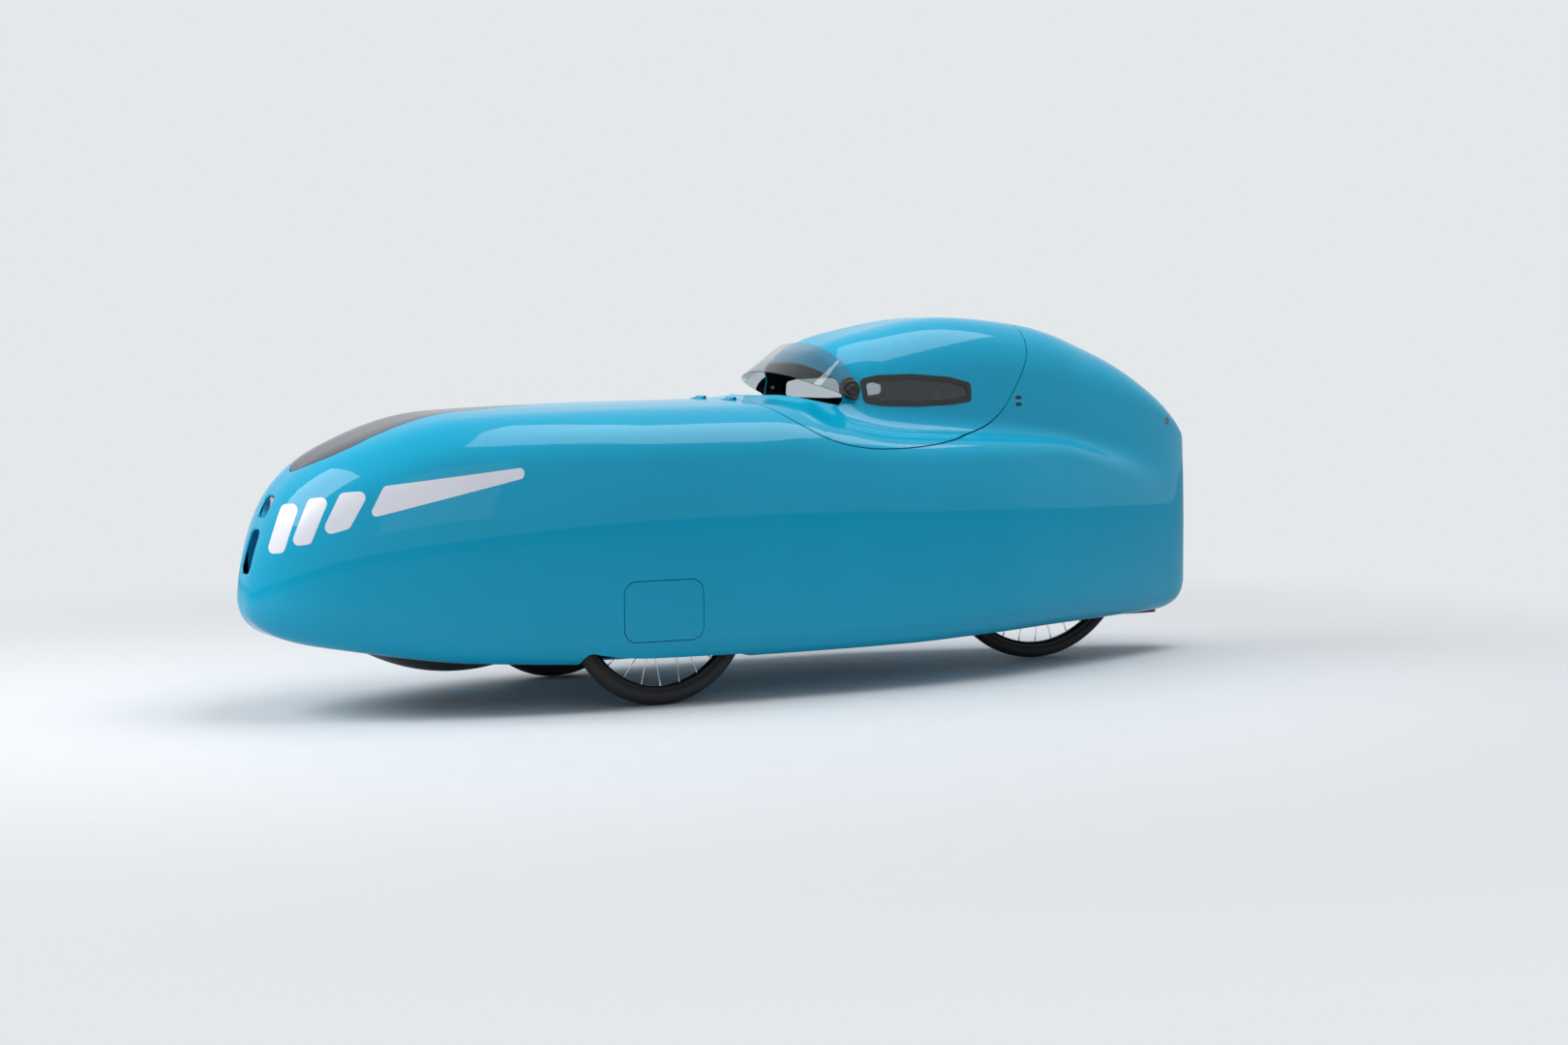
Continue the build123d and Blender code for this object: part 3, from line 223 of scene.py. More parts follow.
# Camera as fitted to the photograph, for an image of 1620 by 1080
CAMERA_PLACE = (3.0865, 5.76, 0.86)
CAMERA_YAW = 28.8
CAMERA_PITCH = 4.11
CAMERA_ROLL = -0.3
CAMERA_LENS = 60.33
SENSOR = 36.0


class Side(Enum):
    """Side of the vehicle, as the sign of Y."""

    LEFT = 1
    RIGHT = -1

    @property
    def tag(self) -> str:
        """Returns: the side's name as piece names use it."""
        return self.name.lower()


class Grain(Enum):
    """Kind of fine detail in a finish's colour and relief."""

    PEEL = "peel"
    FINE = "fine"
    WEAVE = "weave"
    MESH = "mesh"


@dataclass(frozen=True)
class Finish:
    """What a real material gives the eye: colour, gloss, clear coat and the scale of its fine detail."""

    name: str
    colour: str
    roughness: float
    grain: Grain = Grain.FINE
    grain_size: float = 0.002
    relief: float = 0.05
    vary: float = 0.06
    metallic: float = 0.0
    coat: float = 0.0
    transmission: float = 0.0
    ior: float = 1.5
    sheen: float = 0.0
    specular: float = 0.5


def linear(code: str) -> tuple[float, float, float, float]:
    """Turns an sRGB hex colour into linear light.

    Args:
        code: six hex digits, with or without a leading hash sign.
    Returns:
        Linear red, green, blue and an alpha of 1.
    """
    values = []
    for i in (0, 2, 4):
        c = int(code.lstrip("#")[i:i + 2], 16) / 255
        values.append(c / 12.92 if c <= 0.04045 else ((c + 0.055) / 1.055) ** 2.4)
    return (*values, 1.0)


def add_node(tree: bpy.types.NodeTree, kind: str, settings: dict | None = None,
             links: dict | None = None) -> bpy.types.Node:
    """Adds one node with its settings and links.

    Args:
        tree: node tree to add to.
        kind: Blender's node type name.
        settings: attribute or input name to value.
        links: input name or index to the output socket that feeds it.
    Returns:
        The new node.
    """
    node = tree.nodes.new(kind)
    for key, value in (settings or {}).items():
        if isinstance(key, int) or key in node.inputs:
            node.inputs[key].default_value = value
        else:
            setattr(node, key, value)
    for key, source in (links or {}).items():
        tree.links.new(source, node.inputs[key])
    return node


class Materials:
    """Builds each finish's node material once."""

    def __init__(self) -> None:
        """Starts with no material made."""
        self._made: dict[str, bpy.types.Material] = {}

    def get(self, finish: Finish) -> bpy.types.Material:
        """Gives a finish's material, built at the first call.

        Args:
            finish: the finish wanted.
        Returns:
            Its material.
        """
        if finish.name not in self._made:
            self._made[finish.name] = self._build(finish)
        return self._made[finish.name]

    @staticmethod
    def _detail(tree: bpy.types.NodeTree, finish: Finish, place: bpy.types.NodeSocket) -> tuple:
        """Adds the pattern that a finish's relief and colour follow.

        Args:
            tree: the material's node tree.
            finish: the finish.
            place: output with the Object coordinates.
        Returns:
            Outputs for the height and for the colour factor.
        """
        scale = 1.0 / finish.grain_size
        at = {"Vector": place}
        if finish.grain is Grain.WEAVE:
            x, y, z = add_node(tree, "ShaderNodeSeparateXYZ", links={0: place}).outputs
            along = add_node(tree, "ShaderNodeMath", {"operation": "ADD"}, {0: x, 1: z})
            across = add_node(tree, "ShaderNodeMath", {"operation": "SUBTRACT"}, {0: y, 1: z})
            pair = add_node(tree, "ShaderNodeCombineXYZ", links={0: along.outputs[0], 1: across.outputs[0]})
            checks = add_node(tree, "ShaderNodeTexChecker", {"Scale": scale}, {"Vector": pair.outputs[0]})
            wave = add_node(tree, "ShaderNodeTexWave", {"Scale": scale * 1.5, "bands_direction": "DIAGONAL"}, at)
            return wave.outputs["Fac"], checks.outputs["Fac"]
        if finish.grain is Grain.MESH:
            cells = add_node(tree, "ShaderNodeTexVoronoi", {"feature": "F1", "Scale": scale, "Randomness": 0.15}, at)
            return cells.outputs["Distance"], cells.outputs["Distance"]
        rough = add_node(tree, "ShaderNodeTexNoise", {"Scale": scale, "Detail": 2.0, "Roughness": 0.55}, at)
        wide_scale = PEEL_SCALE if finish.grain is Grain.PEEL else SOIL_SCALE
        wide = add_node(tree, "ShaderNodeTexNoise", {"Scale": wide_scale, "Detail": 3.0}, at)
        return rough.outputs["Fac"], wide.outputs["Fac"]

    def _build(self, finish: Finish) -> bpy.types.Material:
        """Builds a finish's material.

        Args:
            finish: the finish.
        Returns:
            The new material.
        """
        material = bpy.data.materials.new(finish.name)
        material.use_nodes = True
        tree = material.node_tree
        tree.nodes.clear()
        place = add_node(tree, "ShaderNodeTexCoord").outputs["Object"]
        height, factor = self._detail(tree, finish, place)
        base = linear(finish.colour)
        dark = tuple(c * (1 - finish.vary) for c in base[:3]) + (1.0,)
        light = tuple(min(1.0, c * (1 + finish.vary) + finish.vary * 0.01) for c in base[:3]) + (1.0,)
        ramp = add_node(tree, "ShaderNodeValToRGB", links={"Fac": factor})
        ramp.color_ramp.elements[0].position = 0.3
        ramp.color_ramp.elements[0].color = dark
        ramp.color_ramp.elements[1].position = 0.7
        ramp.color_ramp.elements[1].color = light
        gloss = add_node(tree, "ShaderNodeMapRange", {
            "To Min": finish.roughness * (1 - GLOSS_SPREAD), "To Max": finish.roughness * (1 + GLOSS_SPREAD),
        }, {"Value": factor})
        bump = add_node(tree, "ShaderNodeBump", {
            "Strength": min(1.0, finish.relief), "Distance": finish.grain_size * RELIEF_SHARE,
        }, {"Height": height})
        shader = add_node(tree, "ShaderNodeBsdfPrincipled", {
            "Metallic": finish.metallic, "IOR": finish.ior, "Coat Weight": finish.coat, "Coat Roughness": 0.03,
            "Transmission Weight": finish.transmission, "Sheen Weight": finish.sheen, "Sheen Roughness": 0.5,
            "Specular IOR Level": finish.specular,
        }, {
            "Base Color": ramp.outputs["Color"], "Roughness": gloss.outputs["Result"],
            "Normal": bump.outputs["Normal"],
        })
        add_node(tree, "ShaderNodeOutputMaterial", links={"Surface": shader.outputs["BSDF"]})
        return material


# Gelcoat in glass laminate: deep even colour under a clear hard gloss with a faint orange peel
PAINT = Finish("paint_turquoise", "#009ABF", 0.30, Grain.PEEL, 0.004, 0.012, 0.02, coat=0.5, specular=0.03)
# Dark grey lacquered laminate: gloss a little softer than the body's
HATCH_GREY = Finish("hatch_grey", "#3A3B44", 0.30, Grain.PEEL, 0.004, 0.012, 0.05, coat=0.5, specular=0.1)
# Inside of the intake: satin, the body's turquoise made darker as painted shade of the recess
SHADED_INTAKE = Finish("intake_blue", "#0C86B4", 0.35, Grain.FINE, 0.003, 0.03, 0.06)
# Bare inner face of the laminate: dull dark grey with fibre pattern
LAMINATE = Finish("laminate_dark", "#303337", 0.55, Grain.WEAVE, 0.004, 0.15, 0.25)
# Reflective white vinyl: flat white, slight grain
VINYL = Finish("vinyl_white", "#D9DAE3", 0.38, Grain.FINE, 0.0012, 0.04, 0.02, coat=0.2)
# Moulded black plastic: dull black with fine grain
PLASTIC = Finish("plastic_black", "#111214", 0.42, Grain.FINE, 0.0008, 0.12, 0.10)
# Sealing rubber: dead black, no gloss
SEAL = Finish("seal_black", "#08090A", 0.8, Grain.FINE, 0.001, 0.1, 0.1)
# Clear bent sheet: sharp reflections, faint grey body colour, fine wiping haze
CLEAR = Finish("clear_sheet", "#C9D2D6", 0.03, Grain.PEEL, 0.02, 0.01, 0.02, transmission=1.0, ior=1.49)
# Lamp lens: bright clear plastic
LENS = Finish("lamp_lens", "#F2F5F7", 0.04, Grain.PEEL, 0.006, 0.02, 0.01, transmission=0.92, ior=1.5)
# Bright metallised reflector
REFLECTOR = Finish("reflector", "#F7F8FA", 0.30, Grain.FINE, 0.003, 0.02, 0.02, metallic=0.25)
# Dark red lens of the small rear lamps
RED_LENS = Finish("red_lens", "#3A0A0C", 0.10, Grain.MESH, 0.002, 0.2, 0.2, coat=0.5)
# Tyre rubber: soft black, dusty on its flanks
RUBBER = Finish("tyre_rubber", "#0F1012", 0.72, Grain.FINE, 0.0015, 0.25, 0.30)
# Black anodised aluminium
ANODISED = Finish("anodised_black", "#16171A", 0.33, Grain.FINE, 0.0006, 0.06, 0.10, metallic=0.7)
# Turned aluminium of hubs and levers
ALUMINIUM = Finish("aluminium_satin", "#B4B8BC", 0.30, Grain.FINE, 0.0008, 0.08, 0.06, metallic=1.0)
# Stainless wire
STEEL = Finish("stainless_wire", "#C6CACD", 0.18, Grain.FINE, 0.0008, 0.03, 0.04, metallic=1.0)
# Powder coated tube
COATED = Finish("coated_black", "#1A1B1D", 0.36, Grain.PEEL, 0.0015, 0.06, 0.08)
# Open spacer fabric of the seat pad with a bound edge
FABRIC = Finish("spacer_fabric", "#202328", 0.9, Grain.MESH, 0.004, 0.6, 0.35, sheen=0.3)
# Woven tape round the pad's edge
BINDING = Finish("edge_binding", "#0F1012", 0.8, Grain.WEAVE, 0.0015, 0.3, 0.2)
# Matt studio floor
FLOOR = Finish("studio_floor", "#D3D6D9", 0.7, Grain.FINE, 0.01, 0.02, 0.01)

MATERIALS = Materials()


def named_rows() -> dict[str, np.ndarray]:
    """Sorts the section table by column, with a pole before the nose and an edge behind the tail.

    Returns:
        One array per column.
    """
    table = {name: np.array(column, float) for name, column in zip(SECTION_COLUMNS, zip(*SECTION_ROWS))}
    result = {}
    for name, values in table.items():
        if name == "x":
            ends = (values[0], values[-1])
        elif name in WIDTH_COLUMNS:
            ends = (0.0, 0.0)
        elif name == "bottom":
            ends = (NOSE_POLE_Z, values[-1] + TAIL_EDGE)
        elif name == "top":
            ends = (NOSE_POLE_Z, values[-1] - TAIL_EDGE)
        else:
            ends = (NOSE_POLE_Z, values[-1])
        result[name] = np.concatenate(([ends[0]], values, [ends[1]]))
    return result


def monotone_curve(knots: np.ndarray, values: np.ndarray, query: np.ndarray) -> np.ndarray:
    """Smooth curve through given values that never overshoots them.

    Args:
        knots: places of the values.
        values: the values.
        query: places wanted.
    Returns:
        The curve's values there.
    """
    step = np.diff(knots)
    slope = np.diff(values) / step
    tangent = np.zeros_like(values)
    same = slope[:-1] * slope[1:] > 0
    w1 = 2 * step[1:] + step[:-1]
    w2 = step[1:] + 2 * step[:-1]
    safe_a = np.where(same, slope[:-1], 1.0)
    safe_b = np.where(same, slope[1:], 1.0)
    tangent[1:-1] = np.where(same, (w1 + w2) / (w1 / safe_a + w2 / safe_b), 0.0)
    tangent[0] = slope[0]
    tangent[-1] = slope[-1]
    i = np.clip(np.searchsorted(knots, query, side="right") - 1, 0, len(step) - 1)
    t = (query - knots[i]) / step[i]
    h00 = (1 + 2 * t) * (1 - t) ** 2
    h10 = t * (1 - t) ** 2
    h01 = t * t * (3 - 2 * t)
    h11 = t * t * (t - 1)
    return h00 * values[i] + h10 * step[i] * tangent[i] + h01 * values[i + 1] + h11 * step[i] * tangent[i + 1]


def blurred(values: np.ndarray, width: int, odd: bool) -> np.ndarray:
    """Gaussian blur with mirrored ends.

    Args:
        values: samples at even steps.
        width: standard deviation in samples.
        odd: whether the values change sign beyond the ends, as widths do.
    Returns:
        The blurred samples.
    """
    reach = 3 * width
    sign = -1.0 if odd else 1.0
    padded = np.concatenate((sign * values[reach:0:-1], values, sign * values[-2:-reach - 2:-1]))
    kernel = np.exp(-0.5 * (np.arange(-reach, reach + 1) / width) ** 2)
    return np.convolve(padded, kernel / kernel.sum(), mode="valid")


@dataclass
class Surface:
    """Triangles on the body's skin, with a place and a smooth normal at each point, in metres."""

    points: np.ndarray
    normals: np.ndarray
    faces: np.ndarray

    def keep(self, field: np.ndarray) -> "Surface":
        """Cuts away what lies where a field is negative, along the field's zero line.

        Args:
            field: one value per point.
        Returns:
            The part of the surface where the field is positive.
        """
        inside = field >= 0
        count = inside[self.faces].sum(1)
        whole = self.faces[count == 3]
        cut = []
        for amount in (1, 2):
            faces = self.faces[count == amount]
            lone = inside[faces] if amount == 1 else ~inside[faces]
            turn = np.argmax(lone, axis=1)
            order = (turn[:, None] + np.arange(3)) % 3
            cut.append(np.take_along_axis(faces, order, axis=1))
        edges = np.concatenate([np.stack((f[:, 0], f[:, k]), axis=1) for f in cut for k in (1, 2)])
        ordered = np.sort(edges, axis=1)
        unique, back = np.unique(ordered, axis=0, return_inverse=True)
        back = back.reshape(-1)
        a, b = field[unique[:, 0]], field[unique[:, 1]]
        share = np.clip(a / np.where(np.abs(a - b) < TINY, TINY, a - b), 0.0, 1.0)[:, None]
        places = self.points[unique[:, 0]] * (1 - share) + self.points[unique[:, 1]] * share
        turned = self.normals[unique[:, 0]] * (1 - share) + self.normals[unique[:, 1]] * share
        turned /= np.linalg.norm(turned, axis=1, keepdims=True)
        base = len(self.points)
        n1, n2 = len(cut[0]), len(cut[1])
        first, second = back[:n1] + base, back[n1:2 * n1] + base
        third, fourth = back[2 * n1:2 * n1 + n2] + base, back[2 * n1 + n2:] + base
        faces = [
            whole,
            np.stack((cut[0][:, 0], first, second), axis=1),
            np.stack((third, cut[1][:, 1], cut[1][:, 2]), axis=1),
            np.stack((third, cut[1][:, 2], fourth), axis=1),
        ]
        result = Surface(np.concatenate((self.points, places)), np.concatenate((self.normals, turned)),
                         np.concatenate(faces))
        return result.tidy()

    def refined(self, near: np.ndarray, longest: float = 0.0) -> "Surface":
        """Halves every long edge that has a marked point, and the triangles beside it.

        Args:
            near: which points are marked.
            longest: length in millimetres up to which an edge stays whole.
        Returns:
            The finer surface.
        """
        sides = np.concatenate([self.faces[:, (i, (i + 1) % 3)] for i in range(3)])
        unique, back = np.unique(np.sort(sides, axis=1), axis=0, return_inverse=True)
        back = back.reshape(3, -1).T
        length = np.linalg.norm(self.points[unique[:, 0]] - self.points[unique[:, 1]], axis=1) / MM
        split = near[unique].any(1) & (length > longest)
        chosen = unique[split]
        middles = self.points[chosen].mean(1)
        turned = self.normals[chosen].sum(1)
        turned /= np.maximum(np.linalg.norm(turned, axis=1, keepdims=True), TINY)
        index = np.full(len(unique), -1)
        index[split] = len(self.points) + np.arange(len(chosen))
        mid = index[back]
        count = (mid >= 0).sum(1)
        lead = np.where(count == 1, np.argmax(mid >= 0, axis=1), 0)
        lead = np.where(count == 2, (np.argmax(mid < 0, axis=1) + 1) % 3, lead)
        order = (lead[:, None] + np.arange(3)) % 3
        face = np.take_along_axis(self.faces, order, axis=1)
        mid = np.take_along_axis(mid, order, axis=1)
        a, b, c = face.T
        m0, m1, m2 = mid.T
        parts = [face[count == 0]]
        for amount, corners in (
            (1, ((a, m0, c), (m0, b, c))),
            (2, ((m0, b, m1), (a, m0, m1), (a, m1, c))),
            (3, ((a, m0, m2), (m0, b, m1), (m2, m1, c), (m0, m1, m2))),
        ):
            parts += [np.stack(corner, axis=1)[count == amount] for corner in corners]
        return Surface(np.concatenate((self.points, middles)), np.concatenate((self.normals, turned)),
                       np.concatenate(parts))

    def near_outline(self, cut: "Cut", reaches: Sequence[float]) -> "Surface":
        """Makes the triangles finer near an outline.

        Args:
            cut: the outline.
            reaches: how near to it each halving goes, in millimetres.
        Returns:
            The finer surface.
        """
        part = self
        for reach in reaches:
            part = part.refined(cut.applies(part) & (np.abs(cut.depth(part)) < reach), reach * EDGE_SHARE)
        return part

    def without(self, cut: "Cut") -> "Surface":
        """Returns: what lies outside an outline."""
        return self.keep(np.where(cut.applies(self), -cut.depth(self), 1.0))

    def only(self, cut: "Cut", gap: float = 0.0) -> "Surface":
        """Returns: what lies inside an outline, less a gap along it."""
        return self.keep(np.where(cut.applies(self), cut.depth(self) - gap, -1.0))

    def band(self, cut: "Cut", outside: float, inside: float) -> "Surface":
        """Takes the strip along an outline.

        Args:
            cut: the outline.
            outside: the strip's width outside it.
            inside: its width inside it.
        Returns:
            The strip.
        """
        depth = cut.depth(self)
        field = np.minimum(depth + outside, inside - depth)
        return self.keep(np.where(cut.applies(self), field, -1.0))

    def tidy(self) -> "Surface":
        """Drops triangles without an area and unused points.

        Returns:
            The same surface without them.
        """
        a, b, c = (self.points[self.faces[:, k]] for k in range(3))
        size = np.linalg.norm(np.cross(b - a, c - a), axis=1)
        faces = self.faces[size > TINY]
        used, index = np.unique(faces, return_inverse=True)
        return Surface(self.points[used], self.normals[used], index.reshape(-1, 3))

    def welded(self) -> "Surface":
        """Makes points that lie at one place one point.

        Returns:
            The same surface, joined there.
        """
        keys = np.round(self.points / (0.02 * MM)).astype(np.int64)
        _, first, back = np.unique(keys, axis=0, return_index=True, return_inverse=True)
        faces = back.reshape(-1)[self.faces]
        good = (faces[:, 0] != faces[:, 1]) & (faces[:, 1] != faces[:, 2]) & (faces[:, 2] != faces[:, 0])
        return Surface(self.points[first], self.normals[first], faces[good]).tidy()

    def boundary(self) -> np.ndarray:
        """Finds the surface's open edges.

        Returns:
            Directed edges that only one triangle has.
        """
        edges = np.concatenate([self.faces[:, (i, (i + 1) % 3)] for i in range(3)])
        ordered = np.sort(edges, axis=1)
        _, back, count = np.unique(ordered, axis=0, return_inverse=True, return_counts=True)
        return edges[count[back.reshape(-1)] == 1]

    def shell(self, name: str, finish: Finish, out: float, into: float,
              lining: Finish | None = None) -> bpy.types.Object:
        """Gives the surface a wall and makes it an object.

        Args:
            name: the piece's name.
            finish: its finish.
            out: how far the outer face stands out, in millimetres.
            into: how far the inner face lies in, in millimetres.
            lining: finish of the inner face, if it has its own.
        Returns:
            The closed object.
        """
        n = len(self.points)
        edges = self.boundary()
        points = np.concatenate((self.points + self.normals * out * MM, self.points - self.normals * into * MM))
        inner = self.faces[:, ::-1] + n
        rim_a = np.stack((edges[:, 1], edges[:, 0], edges[:, 0] + n), axis=1)
        rim_b = np.stack((edges[:, 1], edges[:, 0] + n, edges[:, 1] + n), axis=1)
        rim = np.concatenate((rim_a, rim_b))
        faces = np.concatenate((self.faces, inner, rim))
        flat = np.cross(points[rim[:, 1]] - points[rim[:, 0]], points[rim[:, 2]] - points[rim[:, 0]])
        flat /= np.maximum(np.linalg.norm(flat, axis=1, keepdims=True), TINY)
        loops = np.concatenate((self.normals[self.faces].reshape(-1, 3), -self.normals[inner - n].reshape(-1, 3),
                                np.repeat(flat, 3, axis=0)))
        mesh = bpy.data.meshes.new(name)
        mesh.from_pydata(points.tolist(), [], faces.tolist())
        mesh.polygons.foreach_set("use_smooth", np.ones(len(mesh.polygons), bool))
        mesh.normals_split_custom_set(loops.tolist())
        mesh.update()
        piece = linked(name, mesh, finish)
        if lining is not None:
            piece.data.materials.append(MATERIALS.get(lining))
            index = np.zeros(len(faces), np.int32)
            index[len(self.faces):len(self.faces) + len(inner)] = 1
            piece.data.polygons.foreach_set("material_index", index)
        return piece


def linked(name: str, data: bpy.types.ID, finish: Finish | None = None) -> bpy.types.Object:
    """Makes an object of a mesh, curve, light or camera and puts it in the scene.

    Args:
        name: the object's name.
        data: what it shows.
        finish: its finish, if it is a piece.
    Returns:
        The object.
    """
    if finish is not None:
        data.materials.append(MATERIALS.get(finish))
    item = bpy.data.objects.new(name, data)
    bpy.context.scene.collection.objects.link(item)
    return item


def dress(piece: bpy.types.Object, body: str, slot: str | None = None, *nodes: str) -> None:
    """Lets a piece ride on a body and stands for CAD nodes.

    Args:
        piece: the piece.
        body: the body that it rides on.
        slot: its material slot's name, if it has one; not used.
        nodes: the CAD nodes that it stands for.
    """
    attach(piece, body)
    if nodes:
        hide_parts(*nodes)


class Hull:
    """The body's smooth outer form, as a fine grid of its left half."""

    def __init__(self) -> None:
        """Runs smooth curves through the section table and rounds each section."""
        rows = named_rows()
        step = np.sqrt(np.diff(rows["x"]) ** 2 + np.diff(rows["half"]) ** 2 + (TOP_SHARE * np.diff(rows["top"])) ** 2)
        knots = np.concatenate(([0.0], np.cumsum(step)))
        amount = int(round(knots[-1] / (FINE_STEP * ROW_STRIDE))) * ROW_STRIDE + 1
        query = np.linspace(0.0, knots[-1], amount)
        smooth = {}
        for name, values in rows.items():
            smooth[name] = blurred(monotone_curve(knots, values, query), ROW_BLUR, name in WIDTH_COLUMNS)
        x = smooth["x"]
        x = np.where(x > 0, x * rows["x"].max() / x.max(), x * rows["x"].min() / x.min())
        half, corner, bottom, top = (smooth[k] for k in ("half", "corner", "bottom", "top"))
        zero = np.zeros_like(half)
        corners = [
            (zero, bottom), (np.maximum(half - corner, 0), bottom), (half, bottom + corner),
            (half, smooth["side_z"]), (smooth["shoulder_y"], smooth["shoulder_z"]),
            (smooth["valley_y"], smooth["valley_z"]), (smooth["crown_y"], top), (zero, top),
        ]
        ring = self._rounded(np.array([np.stack(c, axis=1) for c in corners]).transpose(1, 0, 2))
        for _ in range(RING_EASINGS):
            ring = self._eased(ring)
        self.grid = np.concatenate((np.repeat(x[:, None, None], ring.shape[1], axis=1), ring), axis=2) * MM
        self.grid[:, (0, -1), 1] = 0.0
        self.normals = self._grid_normals(self.grid)

    @staticmethod
    def _rounded(corners: np.ndarray) -> np.ndarray:
        """Rounds the six corners of each section.

        Args:
            corners: the sections' eight corners, as (rows, 8, 2).
        Returns:
            Samples along the sections, as (rows, samples, 2).
        """
        runs = np.diff(corners, axis=1)
        length = np.maximum(np.linalg.norm(runs, axis=2), 1e-9)
        unit = runs / length[:, :, None]
        starts, ends = [corners[:, 0]], []
        arcs = []
        last = len(ARC_SAMPLES)
        for i in range(1, last + 1):
            free_in = length[:, i - 1] * (1 if i == 1 else 0.5)
            free_out = length[:, i] * (1 if i == last else 0.5)
            reach = (CORNER_SHARE * np.minimum(free_in, free_out))[:, None]
            p0 = corners[:, i] - reach * unit[:, i - 1]
            p2 = corners[:, i] + reach * unit[:, i]
            turn = np.clip((unit[:, i - 1] * unit[:, i]).sum(1), -1, 1)
            weight = np.sqrt((1 + turn) / 2)[:, None, None]
            t = np.linspace(0, 1, ARC_SAMPLES[i - 1] + 1)[None, :, None]
            b0, b1, b2 = (1 - t) ** 2, 2 * t * (1 - t) * weight, t * t
            arcs.append((b0 * p0[:, None] + b1 * corners[:, i][:, None] + b2 * p2[:, None]) / (b0 + b1 + b2))
            ends.append(p0)
            starts.append(p2)
        ends.append(corners[:, -1])
        pieces = []
        for i, samples in enumerate(LINE_SAMPLES):
            t = np.linspace(0, 1, samples + 1)[None, :, None]
            line = starts[i][:, None] * (1 - t) + ends[i][:, None] * t
            pieces.append(line if i == 0 else line[:, 1:])
            if i < last:
                pieces.append(arcs[i][:, 1:])
        return np.concatenate(pieces, axis=1)

    @staticmethod
    def _eased(ring: np.ndarray) -> np.ndarray:
        """Smooths each section lightly.

        Args:
            ring: samples along each section.
        Returns:
            The smoothed samples.
        """
        flip = np.array([-1.0, 1.0])
        padded = np.concatenate((ring[:, 1:2] * flip, ring, ring[:, -2:-1] * flip), axis=1)
        return 0.25 * padded[:, :-2] + 0.5 * padded[:, 1:-1] + 0.25 * padded[:, 2:]

    @staticmethod
    def _grid_normals(grid: np.ndarray) -> np.ndarray:
        """Works out the form's normals.

        Args:
            grid: its places.
        Returns:
            Outward unit normals there.
        """
        flip = np.array([1.0, -1.0, 1.0])
        wide = np.concatenate((grid[:, 1:2] * flip, grid, grid[:, -2:-1] * flip), axis=1)
        along = np.gradient(grid, axis=0)
        across = wide[:, 2:] - wide[:, :-2]
        normal = np.cross(along, across)
        size = np.linalg.norm(normal, axis=2, keepdims=True)
        normal = normal / np.maximum(size, TINY)
        normal[0] = (1.0, 0.0, 0.0)
        normal[-1] = (-1.0, 0.0, 0.0)
        middle = normal[:, (0, -1)]
        middle[..., 1] = 0.0
        normal[:, (0, -1)] = middle / np.maximum(np.linalg.norm(middle, axis=2, keepdims=True), TINY)
        return normal

    @staticmethod
    def grid_faces(rows: int, columns: int) -> np.ndarray:
        """Joins a grid of places by triangles.

        Args:
            rows: its number of rows.
            columns: its number of columns.
        Returns:
            The triangles.
        """
        i, j = np.meshgrid(np.arange(rows - 1), np.arange(columns - 1), indexing="ij")
        a = (i * columns + j).ravel()
        return np.concatenate((np.stack((a, a + 1, a + columns + 1), axis=1),
                               np.stack((a, a + columns + 1, a + columns), axis=1)))

    def half(self, row_stride: int, column_stride: int, x_range: tuple | None = None,
             z_range: tuple | None = None) -> Surface:
        """The left half, or a window of it, at a chosen fineness.

        Args:
            row_stride: fine rows per row taken.
            column_stride: fine samples per sample taken.
            x_range: lowest and highest x to take, in millimetres.
            z_range: lowest and highest z to take, in millimetres.
        Returns:
            The surface.
        """
        rows, columns = (np.append(np.arange(0, size - 1, stride), size - 1)
                         for size, stride in zip(self.grid.shape, (row_stride, column_stride)))
        if x_range is not None:
            x = self.grid[rows, 0, 0] / MM
            rows = rows[(x > x_range[0]) & (x < x_range[1])]
        if z_range is not None:
            z = self.grid[rows][:, columns, 2] / MM
            columns = columns[((z > z_range[0]) & (z < z_range[1])).any(0)]
        grid = self.grid[np.ix_(rows, columns)]
        normals = self.normals[np.ix_(rows, columns)]
        return Surface(grid.reshape(-1, 3), normals.reshape(-1, 3),
                       self.grid_faces(len(rows), len(columns))[:, ::-1]).tidy()

    @staticmethod
    def mirrored(part: Surface) -> Surface:
        """Returns: the image on the right of a surface on the left."""
        flip = np.array([1.0, -1.0, 1.0])
        return Surface(part.points * flip, part.normals * flip, part.faces[:, ::-1])

    def placed(self, part: Surface, side: Side) -> Surface:
        """Returns: a surface on the left, or its image, for the side wanted."""
        return part if side is Side.LEFT else self.mirrored(part)

    def both(self, part: Surface) -> Surface:
        """Returns: a surface on the left and its image, joined along the middle."""
        return merged((part, self.mirrored(part))).welded()


